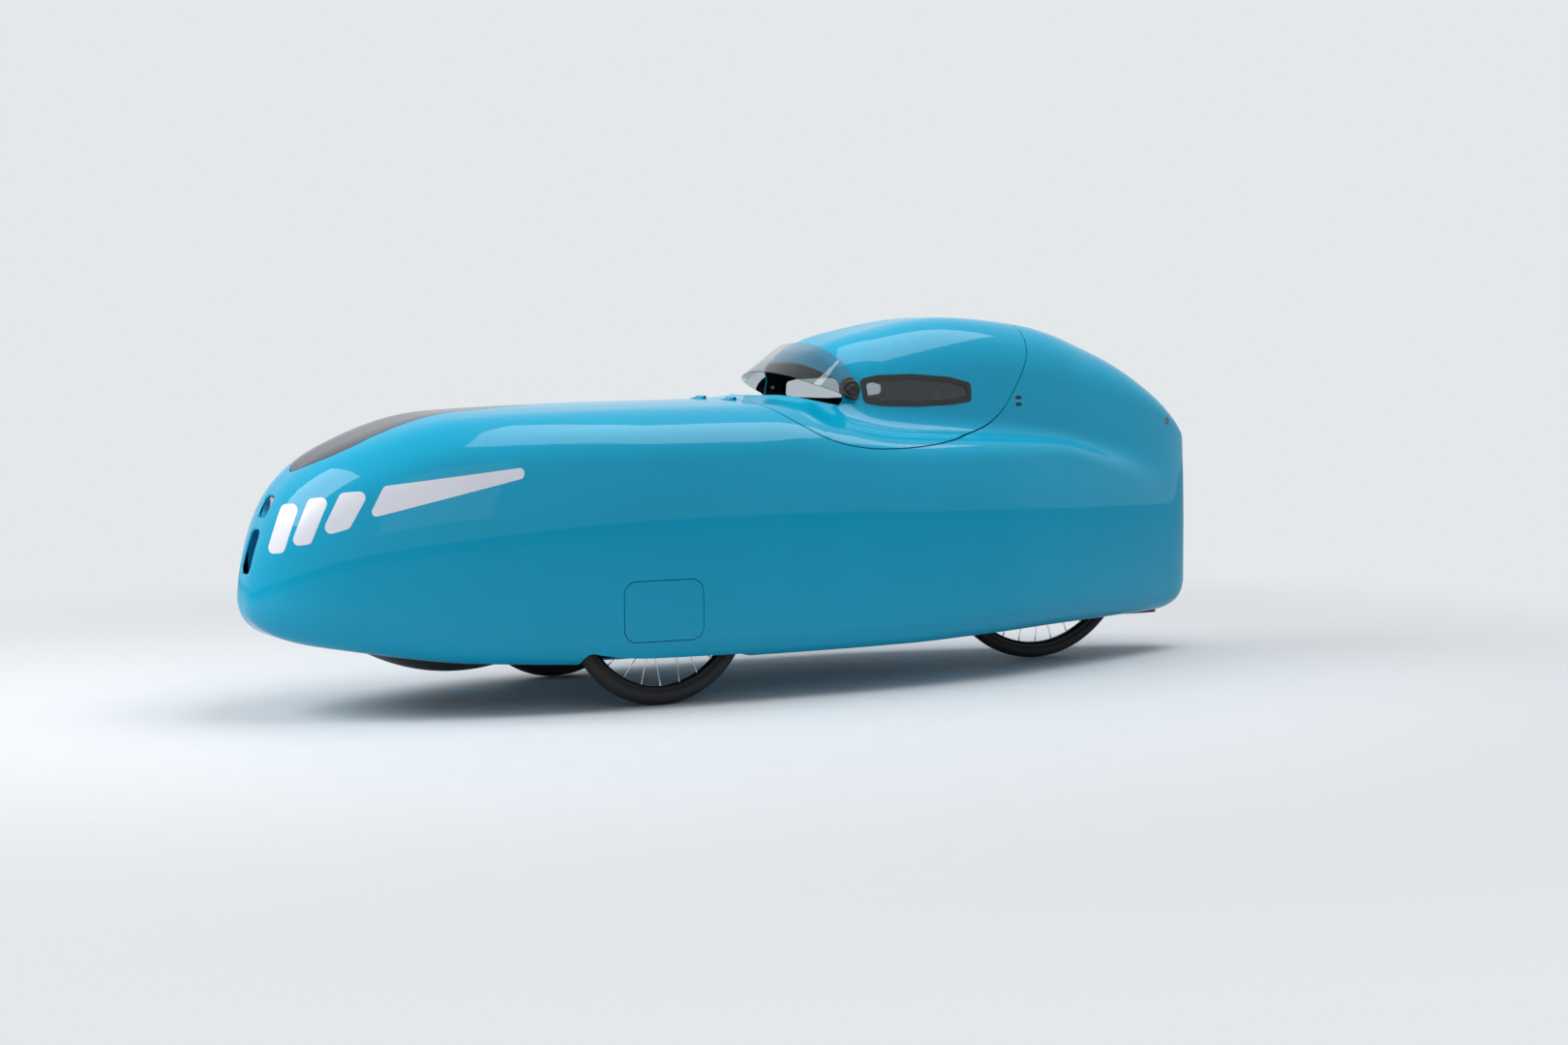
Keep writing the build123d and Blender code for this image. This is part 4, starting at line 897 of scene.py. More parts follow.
def rounded_ring(points: Sequence, radius: float | None, closed: bool = True, steps: int = 8) -> np.ndarray:
    """Rounds the corners of an outline.

    Args:
        points: its corners.
        radius: radius at each corner, or None for as large as fits.
        closed: whether the last corner joins the first.
        steps: straight pieces per rounded corner.
    Returns:
        The outline's points.
    """
    p = np.array(points, float)
    n = len(p)
    result = []
    for i in range(n):
        if not closed and i in (0, n - 1):
            result.append(p[i][None])
            continue
        before, here, after = p[i - 1], p[i], p[(i + 1) % n]
        length_in, length_out = np.linalg.norm(here - before), np.linalg.norm(after - here)
        u, v = (here - before) / length_in, (after - here) / length_out
        turn = math.acos(max(-1.0, min(1.0, float(u @ v))))
        share_in = 1.0 if not closed and i == 1 else 0.5
        share_out = 1.0 if not closed and i == n - 2 else 0.5
        reach = CORNER_SHARE * min(length_in * share_in, length_out * share_out)
        if radius is not None:
            reach = min(reach, radius * math.tan(turn / 2))
        weight = math.cos(turn / 2)
        t = np.linspace(0, 1, steps + 1)[:, None]
        b0, b1, b2 = (1 - t) ** 2, 2 * t * (1 - t) * weight, t * t
        result.append((b0 * (here - reach * u) + b1 * here + b2 * (here + reach * v)) / (b0 + b1 + b2))
    return np.concatenate(result)


def softened(points: Sequence, passes: int) -> np.ndarray:
    """Cuts an open line's corners again and again, until it runs smoothly.

    Args:
        points: its corners.
        passes: how often.
    Returns:
        The smooth line, with both ends kept.
    """
    line = np.array(points, float)
    for _ in range(passes):
        ahead = 0.75 * line[:-1] + 0.25 * line[1:]
        behind = 0.25 * line[:-1] + 0.75 * line[1:]
        line = np.concatenate((line[:1], np.stack((ahead, behind), axis=1).reshape(-1, 2)[1:-1], line[-1:]))
    return line


def depth_in(ring: np.ndarray, places: np.ndarray) -> np.ndarray:
    """How deep places lie inside a closed outline.

    Args:
        ring: the outline's points, in millimetres.
        places: flat places, in millimetres.
    Returns:
        Distance to the outline, positive inside and negative outside.
    """
    low, high = ring.min(0), ring.max(0)
    apart = np.maximum(np.maximum(low - places, places - high), 0).max(1)
    result = -apart
    close = np.flatnonzero(apart < NEAR_REACH)
    a, b = ring, np.roll(ring, -1, axis=0)
    run = b - a
    size = np.maximum((run ** 2).sum(1), TINY)
    rise = np.where(np.abs(run[:, 1]) < TINY, TINY, run[:, 1])
    for start in range(0, len(close), 20000):
        chosen = close[start:start + 20000]
        p = places[chosen]
        offset = p[:, None] - a[None]
        t = np.clip((offset * run[None]).sum(2) / size[None], 0, 1)
        near = np.sqrt(((offset - t[:, :, None] * run[None]) ** 2).sum(2)).min(1)
        above = (a[None, :, 1] > p[:, None, 1]) != (b[None, :, 1] > p[:, None, 1])
        cross = a[None, :, 0] + (p[:, None, 1] - a[None, :, 1]) * (run[:, 0] / rise)[None]
        inside = ((above & (p[:, None, 0] < cross)).sum(1) % 2).astype(bool)
        result[chosen] = np.where(inside, near, -near)
    return result


def box_ring(x0: float, x1: float, y0: float, y1: float, radius: float) -> np.ndarray:
    """Returns: the outline of a rounded rectangle between the given limits."""
    return rounded_ring(((x0, y0), (x1, y0), (x1, y1), (x0, y1)), radius)


def disc_ring(x: float, z: float, radius: float, steps: int = 32) -> np.ndarray:
    """Returns: the outline of a disc."""
    t = np.linspace(0, 2 * math.pi, steps, endpoint=False)
    return np.stack((x + radius * np.cos(t), z + radius * np.sin(t)), axis=1)


def inset(corners: Sequence, distance: float) -> np.ndarray:
    """Moves a closed outline's corners inwards.

    Args:
        corners: the corners in order.
        distance: how far each side moves, in millimetres.
    Returns:
        The new corners.
    """
    p = np.array(corners, float)
    run = np.roll(p, -1, axis=0) - p
    area = (p[:, 0] * np.roll(p[:, 1], -1) - np.roll(p[:, 0], -1) * p[:, 1]).sum()
    turn = math.copysign(1.0, area)
    normal = turn * np.stack((-run[:, 1], run[:, 0]), axis=1) / np.linalg.norm(run, axis=1, keepdims=True)
    before = np.roll(normal, 1, axis=0)
    return p + distance * (before + normal) / (1 + (before * normal).sum(1, keepdims=True))


def hatch_ring() -> np.ndarray:
    """Draws the hatch's outline in plan, with one arc back and one forward on each side.

    Returns:
        The outline's points.
    """
    rear, front, half, nose = HATCH
    widest = front - nose

    def arc(p0: tuple, pm: tuple, p1: tuple) -> np.ndarray:
        """Draws an arc through three points.

        Args:
            p0: its start.
            pm: a point on it.
            p1: its end.
        Returns:
            The arc's points.
        """
        (ax, ay), (bx, by), (cx, cy) = p0, pm, p1
        d = 2 * (ax * (by - cy) + bx * (cy - ay) + cx * (ay - by))
        a2, b2, c2 = ax * ax + ay * ay, bx * bx + by * by, cx * cx + cy * cy
        ux = (a2 * (by - cy) + b2 * (cy - ay) + c2 * (ay - by)) / d
        uy = (a2 * (cx - bx) + b2 * (ax - cx) + c2 * (bx - ax)) / d
        radius = math.hypot(ax - ux, ay - uy)
        angles = np.unwrap([math.atan2(y - uy, x - ux) for x, y in (p0, pm, p1)])
        t = np.linspace(angles[0], angles[2], 40)
        return np.stack((ux + radius * np.cos(t), uy + radius * np.sin(t)), axis=1)

    side = np.concatenate((arc((rear, 0), ((rear + widest) / 2, half * 0.8), (widest, half)),
                           arc((widest, half), (widest + 0.72 * (front - widest), half * 0.72), (front, 0))[1:]))
    return np.concatenate((side, side[-2:0:-1] * np.array([1, -1])))


class View(Enum):
    """Flat view that an outline is drawn in, as the two axes it shows."""

    SIDE = (0, 2)
    PLAN = (0, 1)
    FRONT = (1, 2)


@dataclass(frozen=True)
class Cut:
    """A closed outline in a flat view, and the part of the body that it goes through."""

    view: View
    ring: np.ndarray
    axis: int
    limit: float
    sign: int = 1

    def depth(self, part: Surface) -> np.ndarray:
        """Returns: how deep a surface's points lie inside the outline, in millimetres."""
        return depth_in(self.ring, part.points[:, self.view.value] / MM)

    def applies(self, part: Surface) -> np.ndarray:
        """Returns: which of a surface's points the outline can reach."""
        return self.sign * part.points[:, self.axis] / MM > self.sign * self.limit


@dataclass(frozen=True)
class PatchCut(Cut):
    """An outline in the turned view that the white patches are drawn in."""

    def depth(self, part: Surface) -> np.ndarray:
        """Returns: how deep a surface's points lie inside the outline, in millimetres."""
        return depth_in(self.ring, patch_view(part.points / MM))


def patch_view(places: np.ndarray) -> np.ndarray:
    """Returns: places in millimetres as seen with the view turned about the upright axis."""
    c, s = math.cos(math.radians(PATCH_TURN)), math.sin(math.radians(PATCH_TURN))
    return np.stack((-c * places[:, 0] + s * np.abs(places[:, 1]), places[:, 2]), axis=1)


def merged(parts: Sequence[Surface]) -> Surface:
    """Makes several surfaces one.

    Args:
        parts: the surfaces.
    Returns:
        All their triangles as one surface.
    """
    base, faces = 0, []
    for part in parts:
        faces.append(part.faces + base)
        base += len(part.points)
    return Surface(np.concatenate([p.points for p in parts]), np.concatenate([p.normals for p in parts]),
                   np.concatenate(faces))


Mesh = tuple[np.ndarray, list]


def extruded_mesh(ring: np.ndarray, low: float, high: float, bevel: float) -> Mesh:
    """Plate of even thickness that stands in the side view.

    Args:
        ring: its outline (x, z) in millimetres.
        low: its lowest y.
        high: its highest y.
        bevel: how far its edges are broken.
    Returns:
        Places in millimetres and faces.
    """
    area = (ring[:, 0] * np.roll(ring[:, 1], -1) - np.roll(ring[:, 0], -1) * ring[:, 1]).sum()
    ring = ring if area > 0 else ring[::-1]
    low, high = min(low, high), max(low, high)
    levels = ((low, bevel), (low + bevel, 0.0), (high - bevel, 0.0), (high, bevel))
    loops = [np.insert(inset(ring, shrink) if shrink else ring, 1, y, axis=1) for y, shrink in levels]
    n = len(ring)
    faces = [tuple(range(n)), tuple(range(len(levels) * n - 1, (len(levels) - 1) * n - 1, -1))]
    for level in range(len(levels) - 1):
        for i in range(n):
            j = (i + 1) % n
            a, b = level * n, (level + 1) * n
            faces.append((a + i, b + i, b + j, a + j))
    return np.concatenate(loops), faces


def turned_mesh(profile: Sequence, centre: Sequence, steps: int, side: Side = Side.LEFT,
                closed: bool = False) -> Mesh:
    """Form turned about an axis along Y.

    Args:
        profile: places (y, radius) in order; a radius of 0 ends in a pole.
        centre: the axis's x, a shift along y, and the axis's z.
        steps: facets around.
        side: LEFT as given, or RIGHT for its mirror image.
        closed: whether the last place joins the first.
    Returns:
        Places in millimetres and faces.
    """
    places, rows = [], []
    for y, r in profile:
        if r <= 1e-6:
            rows.append([len(places)])
            places.append((centre[0], y + centre[1], centre[2]))
            continue
        rows.append(list(range(len(places), len(places) + steps)))
        for k in range(steps):
            t = 2 * math.pi * k / steps
            places.append((centre[0] + r * math.cos(t), y + centre[1], centre[2] + r * math.sin(t)))
    faces = []
    pairs = list(zip(rows, rows[1:] + ([rows[0]] if closed else [])))
    for lower, upper in pairs:
        for k in range(steps):
            m = (k + 1) % steps
            quad = (lower[k % len(lower)], lower[m % len(lower)], upper[m % len(upper)], upper[k % len(upper)])
            face = tuple(dict.fromkeys(quad))
            if len(face) > 2:
                faces.append(face)
    points = np.array(places, float)
    points[:, 1] *= side.value
    return points, faces


def tube_mesh(path: np.ndarray, radius: float | Sequence[float], sides: int = 8, closed: bool = False) -> Mesh:
    """Round tube along a path.

    Args:
        path: places in millimetres.
        radius: one radius, or one for each place.
        sides: facets around.
        closed: whether the path joins up.
    Returns:
        Places in millimetres and faces.
    """
    n = len(path)
    radii = np.broadcast_to(np.asarray(radius, float), (n,))
    ahead = np.roll(path, -1, axis=0) - np.roll(path, 1, axis=0)
    if not closed:
        ahead[0], ahead[-1] = path[1] - path[0], path[-1] - path[-2]
    ahead = ahead / np.linalg.norm(ahead, axis=1, keepdims=True)
    up = np.array((0.0, 1.0, 0.0)) if abs(ahead[0][1]) < 0.8 else np.array((0.0, 0.0, 1.0))
    points = []
    for i in range(n):
        u = np.cross(ahead[i], up)
        u /= np.linalg.norm(u)
        v = np.cross(u, ahead[i])
        up = v
        for k in range(sides):
            t = 2 * math.pi * k / sides
            points.append(path[i] + radii[i] * (math.cos(t) * u + math.sin(t) * v))
    faces = []
    for i in range(n if closed else n - 1):
        j = (i + 1) % n
        for k in range(sides):
            m = (k + 1) % sides
            faces.append((i * sides + k, i * sides + m, j * sides + m, j * sides + k))
    if not closed:
        faces.append(tuple(range(sides - 1, -1, -1)))
        faces.append(tuple(range((n - 1) * sides, n * sides)))
    return np.array(points), faces


def hinge_leaf(way: int, low: float, high: float) -> Mesh:
    """Barrel of the hood's hinge with its web.

    Args:
        way: 1 for a web ahead of the barrel, -1 for one behind it.
        low: one end along y.
        high: the other end.
    Returns:
        Places in millimetres and faces.
    """
    x, z = HINGE
    r, (reach, web_low, web_high) = HINGE_BARREL, HINGE_WEB
    arc = [(x + r * math.cos(t), z + r * math.sin(t)) for t in np.linspace(0.35, 2 * math.pi - 0.6, 20)]
    web = [(x + reach, z + web_low), (x + reach, z + web_high)]
    ring = np.array([(x + way * (px - x), pz) for px, pz in arc + web])
    return extruded_mesh(ring, low, high, 0.6)


def joined(name: str, parts: Sequence[Mesh], finish: Finish, sharp: float = 35.0) -> bpy.types.Object:
    """Makes one piece of several meshes whose faces may point either way.

    Args:
        name: the piece's name.
        parts: meshes in millimetres.
        finish: its finish.
        sharp: angle above which an edge stays sharp, in degrees.
    Returns:
        The piece, with all its faces outwards.
    """
    mesh = bmesh.new()
    for points, faces in parts:
        corners = [mesh.verts.new(Vector(p) * MM) for p in points]
        made = [mesh.faces.new([corners[i] for i in face]) for face in faces]
        bmesh.ops.recalc_face_normals(mesh, faces=made)
    data = bpy.data.meshes.new(name)
    mesh.to_mesh(data)
    mesh.free()
    data.polygons.foreach_set("use_smooth", np.ones(len(data.polygons), bool))
    data.set_sharp_from_angle(angle=math.radians(sharp))
    return linked(name, data, finish)


def copies_tree(name: str, **inputs: str) -> tuple[bpy.types.NodeTree, bpy.types.NodeOutputs]:
    """Starts a node tree that sets copies of an item.

    Args:
        name: the tree's name.
        inputs: kinds of its inputs by name, besides the item and its finish.
    Returns:
        The tree and the outputs that give its inputs.
    """
    tree = bpy.data.node_groups.new(name, "GeometryNodeTree")
    for label, kind in {"Item": "Geometry", **inputs, "Finish": "Material"}.items():
        tree.interface.new_socket(label, in_out="INPUT", socket_type="NodeSocket" + kind)
    tree.interface.new_socket("Result", in_out="OUTPUT", socket_type="NodeSocketGeometry")
    return tree, add_node(tree, "NodeGroupInput").outputs


def copied(tree: bpy.types.NodeTree, given: bpy.types.NodeOutputs, points: bpy.types.NodeSocket,
           turn: bpy.types.NodeSocket) -> bpy.types.NodeTree:
    """Sets the item on points and gives the copies its finish.

    Args:
        tree: the tree from copies_tree().
        given: its inputs.
        points: output with the points.
        turn: output with each copy's rotation.
    Returns:
        The finished tree.
    """
    copies = add_node(tree, "GeometryNodeInstanceOnPoints", links={
        "Points": points, "Instance": given["Item"], "Rotation": turn})
    real = add_node(tree, "GeometryNodeRealizeInstances", links={"Geometry": copies.outputs[0]})
    dressed = add_node(tree, "GeometryNodeSetMaterial", links={
        "Geometry": real.outputs[0], "Material": given["Finish"]})
    add_node(tree, "NodeGroupOutput", links={"Result": dressed.outputs[0]})
    return tree


def radial_tree() -> bpy.types.NodeTree:
    """Builds the tree that sets copies of an item evenly round the Y axis.

    Returns:
        The tree.
    """
    tree, given = copies_tree("radial_copies", Count="Int")
    points = add_node(tree, "GeometryNodePoints", links={"Count": given["Count"]})
    index = add_node(tree, "GeometryNodeInputIndex")
    part = add_node(tree, "ShaderNodeMath", {"operation": "DIVIDE"}, {0: index.outputs[0], 1: given["Count"]})
    turn = add_node(tree, "ShaderNodeMath", {"operation": "MULTIPLY", 1: 2 * math.pi}, {0: part.outputs[0]})
    angles = add_node(tree, "ShaderNodeCombineXYZ", links={"Y": turn.outputs[0]})
    return copied(tree, given, points.outputs[0], angles.outputs[0])


def path_tree() -> bpy.types.NodeTree:
    """Builds the tree that sets copies of an item along a path at an even spacing.

    Returns:
        The tree.
    """
    tree, given = copies_tree("path_copies", Path="Object", Spacing="Float")
    path = add_node(tree, "GeometryNodeObjectInfo", links={"Object": given["Path"]})
    points = add_node(tree, "GeometryNodeCurveToPoints", {"mode": "LENGTH"}, {
        "Curve": path.outputs["Geometry"], "Length": given["Spacing"]})
    return copied(tree, given, points.outputs["Points"], points.outputs["Rotation"])


def repeated(item: bpy.types.Object, tree: bpy.types.NodeTree, values: dict,
             shift: Sequence = (0, 0, 0)) -> bpy.types.Object:
    """Turns an item into its copies, as a plain mesh.

    Args:
        item: the object that holds the item; it becomes the result.
        tree: radial_tree() or path_tree().
        values: the tree's inputs by name.
        shift: how far the result is moved, in millimetres.
    Returns:
        The item with its new mesh.
    """
    modifier = item.modifiers.new("copies", "NODES")
    modifier.node_group = tree
    names = {s.name: s.identifier for s in tree.interface.items_tree if s.in_out == "INPUT"}
    for name, value in values.items():
        modifier[names[name]] = value
    modifier[names["Finish"]] = item.data.materials[0]
    bpy.context.view_layer.update()
    result = bpy.data.meshes.new_from_object(item.evaluated_get(bpy.context.evaluated_depsgraph_get()))
    item.modifiers.clear()
    old = item.data
    item.data = result
    result.name = item.name
    bpy.data.meshes.remove(old)
    result.transform(Matrix.Translation(Vector(shift) * MM))
    return item


HOOD_CUT = Cut(View.SIDE, np.concatenate((
    softened(HOOD_SEAM, 3),
    ((HOOD_SEAM[-1][0], HOOD_TOP_Z + 60), (HOOD_SEAM[0][0], HOOD_TOP_Z + 60)))), 2, 560.0)
HATCH_CUT = Cut(View.PLAN, hatch_ring(), 2, 480.0)
COVER_CUT = Cut(View.SIDE, box_ring(*COVER, 30.0), 1, 300.0)
FRONT_SLOT_CUT = Cut(View.PLAN, box_ring(*FRONT_SLOT, 22), 2, 200.0, -1)
REAR_SLOT_CUT = Cut(View.PLAN, box_ring(*REAR_SLOT, 30), 2, 200.0, -1)
BAY_CUTS = tuple(
    Cut(View.FRONT, box_ring(-SLOT_HALF, SLOT_HALF, low, high, 22), 0, 1100.0) for low, high in SLOT_BAYS)
SCREEN_CUT = Cut(View.SIDE, rounded_ring(SCREEN_CORNERS, 8.0), 2, 600.0)
WINDOW_CUT = Cut(View.SIDE, rounded_ring(WINDOW_CORNERS, 13.0), 1, 120.0)
TAIL_LAMP_CUT = Cut(View.SIDE, disc_ring(*TAIL_LAMP), 1, 5.0)
VENT_CUTS = tuple(
    Cut(View.SIDE, box_ring(x - VENT_SIZE[0] / 2, x + VENT_SIZE[0] / 2, z - VENT_SIZE[1] / 2,
                            z + VENT_SIZE[1] / 2, 4.4), 1, 100.0) for x, z in VENTS)
REACH_COARSE = (24.0, 12.0)
REACH_FINE = (24.0, 12.0, 5.0)
SLOPE_STEP = 0.5


@dataclass
class Body:
    """Body shell, hatch, side covers, seals, white patches and lamps, all cut from the one smooth form."""

    hull: Hull
    lip: float = 5.0
    lip_cut: float = 0.2
    seal_depth: tuple = (-4.6, 6.8)
    half: Surface = field(init=False)

    def __post_init__(self) -> None:
        """Takes the coarse half that every panel is cut from."""
        part = self.hull.half(ROW_STRIDE, COLUMN_STRIDE)
        for cut in (HOOD_CUT, HATCH_CUT, COVER_CUT, FRONT_SLOT_CUT, REAR_SLOT_CUT):
            part = part.near_outline(cut, REACH_COARSE)
        for cut in (*BAY_CUTS, TAIL_LAMP_CUT, *VENT_CUTS):
            part = part.near_outline(cut, REACH_FINE)
        self.half = part

    def build(self) -> None:
        """Builds all pieces that ride on the body."""
        self.shell()
        self.hatch()
        self.covers()
        self.patches()
        self.small()

    def rolled(self, part: Surface, cut: Cut) -> Surface:
        """Rolls the skin inwards along an opening's edge, as its moulded lip is.

        Args:
            part: the skin.
            cut: the opening.
        Returns:
            The skin with its lip, cut open inside it.
        """
        depth = np.where(cut.applies(part), cut.depth(part), -1.0)
        flat = part.points[:, cut.view.value] / MM
        steps = SLOPE_STEP * np.eye(2)
        towards = np.zeros_like(part.points)
        towards[:, cut.view.value] = np.stack([
            (depth_in(cut.ring, flat + step) - depth_in(cut.ring, flat - step)) / (2 * SLOPE_STEP) for step in steps
        ], axis=1)
        towards -= part.normals * (towards * part.normals).sum(1, keepdims=True)
        towards /= np.maximum(np.linalg.norm(towards, axis=1, keepdims=True), 1e-9)
        share = np.clip(depth / self.lip, 0.0, 1.0)[:, None]
        drop = self.lip * (1 - np.sqrt(1 - share ** 2)) * MM
        moved = Surface(part.points - part.normals * drop, part.normals * np.sqrt(1 - share ** 2) + towards * share,
                        part.faces)
        return moved.keep(self.lip - self.lip_cut - depth)

    def shell(self) -> None:
        """The tub and deck as one painted shell with its openings."""
        part = self.half
        for cut in (HOOD_CUT, HATCH_CUT, COVER_CUT, FRONT_SLOT_CUT, REAR_SLOT_CUT, TAIL_LAMP_CUT, *VENT_CUTS):
            part = part.without(cut)
        for cut in BAY_CUTS:
            part = self.rolled(part, cut)
        piece = self.hull.both(part).shell("body_shell", PAINT, 0, WALL, LAMINATE)
        dress(piece, "body", "body_blue", "body_tub", "body_deck")
        self.seal(self.hull.both(self.half.band(HOOD_CUT, *HOOD_BAND)), "hood_seal")

    def hatch(self) -> None:
        """The dark leaf-shaped hatch on the nose and its seal."""
        lid = self.hull.both(self.half.only(HATCH_CUT, PANEL_GAP))
        skin = lid.shell("nose_hatch_skin", HATCH_GREY, HATCH_PROUD, WALL, LAMINATE)
        dress(skin, "body", "dark_gloss", "nose_hatch")
        self.seal(self.hull.both(self.half.band(HATCH_CUT, *PANEL_BAND)), "hatch_seal")

    def covers(self) -> None:
        """The screwed covers beside the front wheels and their seals."""
        panel, band = self.half.only(COVER_CUT, PANEL_GAP), self.half.band(COVER_CUT, *PANEL_BAND)
        for side in Side:
            piece = self.hull.placed(panel, side).shell(f"access_cover_skin_{side.tag}", PAINT, 0, WALL, LAMINATE)
            dress(piece, "body", "body_blue", f"access_cover_{side.tag}")
            self.seal(self.hull.placed(band, side), f"cover_seal_{side.tag}")

    def seal(self, part: Surface, name: str) -> None:
        """Puts a dark sealing strip under a panel gap, made of a band of the skin."""
        dress(part.shell(name, SEAL, *self.seal_depth), "body")

    def patches(self) -> None:
        """The four white vinyl patches on each flank of the nose."""
        nose = self.half.keep(self.half.points[:, 0] / MM - NOSE_FROM)
        for number, (radius, corners) in enumerate(PATCHES, 1):
            grown = inset(patch_view(np.array(corners, float)), -PATCH_GROWTH)
            cut = PatchCut(View.SIDE, rounded_ring(grown, radius + PATCH_GROWTH), 1, 5.0)
            part = nose.near_outline(cut, REACH_FINE).only(cut)
            for side in Side:
                name = f"vinyl_patch_{number}_{side.tag}"
                dress(self.hull.placed(part, side).shell(name, VINYL, *PATCH_FACES), "body")

    def small(self) -> None:
        """The tail lamps, the side vents and the hinge lugs."""
        lens = self.half.only(TAIL_LAMP_CUT, TRIM_GAP)
        vents = [self.half.only(cut, TRIM_GAP) for cut in VENT_CUTS]
        lenses = self.hull.both(lens).shell("tail_lamp_lenses", RED_LENS, *LENS_FACES)
        dress(lenses, "body", "tail_lens", "tail_lamps")
        bezels = self.hull.both(merged(vents)).shell("vent_bezels", PLASTIC, *VENT_FACES)
        dress(bezels, "body", "black_plastic", "side_vents")
        lugs = []
        for side in Side:
            for low, high in LUG_SPANS:
                lugs.append(hinge_leaf(1, low * side.value, high * side.value))
            ends = (LUG_SPANS[0][0], LUG_SPANS[-1][1])
            pin = ((ends[0], 0.0), (ends[0], LUG_PIN), (ends[1], LUG_PIN), (ends[1], 0.0))
            lugs.append(turned_mesh(pin, (HINGE[0], 0.0, HINGE[1]), 20, side))
        dress(joined("hinge_lugs", lugs, PAINT), "body")


@dataclass
class Hood:
    """Cockpit hood with its side windows."""

    hull: Hull
    border: float = WINDOW_BORDER
    border_radius: float = 9.0
    bush_radius: float = 9.3
    notch: tuple = (9.0, 58.0, 102.0)
    half: Surface = field(init=False)

    def __post_init__(self) -> None:
        """Takes the half of the roof that the hood is cut from."""
        part = self.hull.half(4, 3, (-720, 150), (540, 960))
        for cut in (HOOD_CUT, SCREEN_CUT, WINDOW_CUT):
            part = part.near_outline(cut, (14.0, 7.0))
        self.half = part

    def build(self) -> None:
        """Builds the skin, the window frames and the panes."""
        bush = Cut(View.SIDE, disc_ring(*VISOR_PIVOT, self.bush_radius), 1, 120.0)
        reach, low, high = self.notch
        notch = Cut(View.PLAN, box_ring(HINGE[0] - reach, HINGE[0] + reach, low, high, 2), 2, 600.0)
        skin = self.half.only(HOOD_CUT, HOOD_GAP).without(SCREEN_CUT).without(WINDOW_CUT)
        skin = skin.near_outline(bush, (14.0, 6.0, 3.0)).without(bush).without(notch)
        dress(self.hull.both(skin).shell("hood_skin", PAINT, 0, WALL, LAMINATE), "hood", "body_blue", "hood")
        inner = Cut(View.SIDE, rounded_ring(inset(WINDOW_CORNERS, self.border), self.border_radius), 1, 120.0)
        opening = self.half.near_outline(inner, (10.0, 5.0))
        frame_part, pane_part = opening.only(WINDOW_CUT).without(inner), opening.only(inner, 0.2)
        for side in Side:
            border = self.hull.placed(frame_part, side).shell(f"window_border_{side.tag}", PLASTIC, *BORDER_FACES)
            dress(border, "hood", "black_plastic", f"window_frame_{side.tag}")
            pane = self.hull.placed(pane_part, side).shell(f"window_sheet_{side.tag}", CLEAR, *PANE_FACES)
            dress(pane, "hood", "window_clear", f"window_pane_{side.tag}")


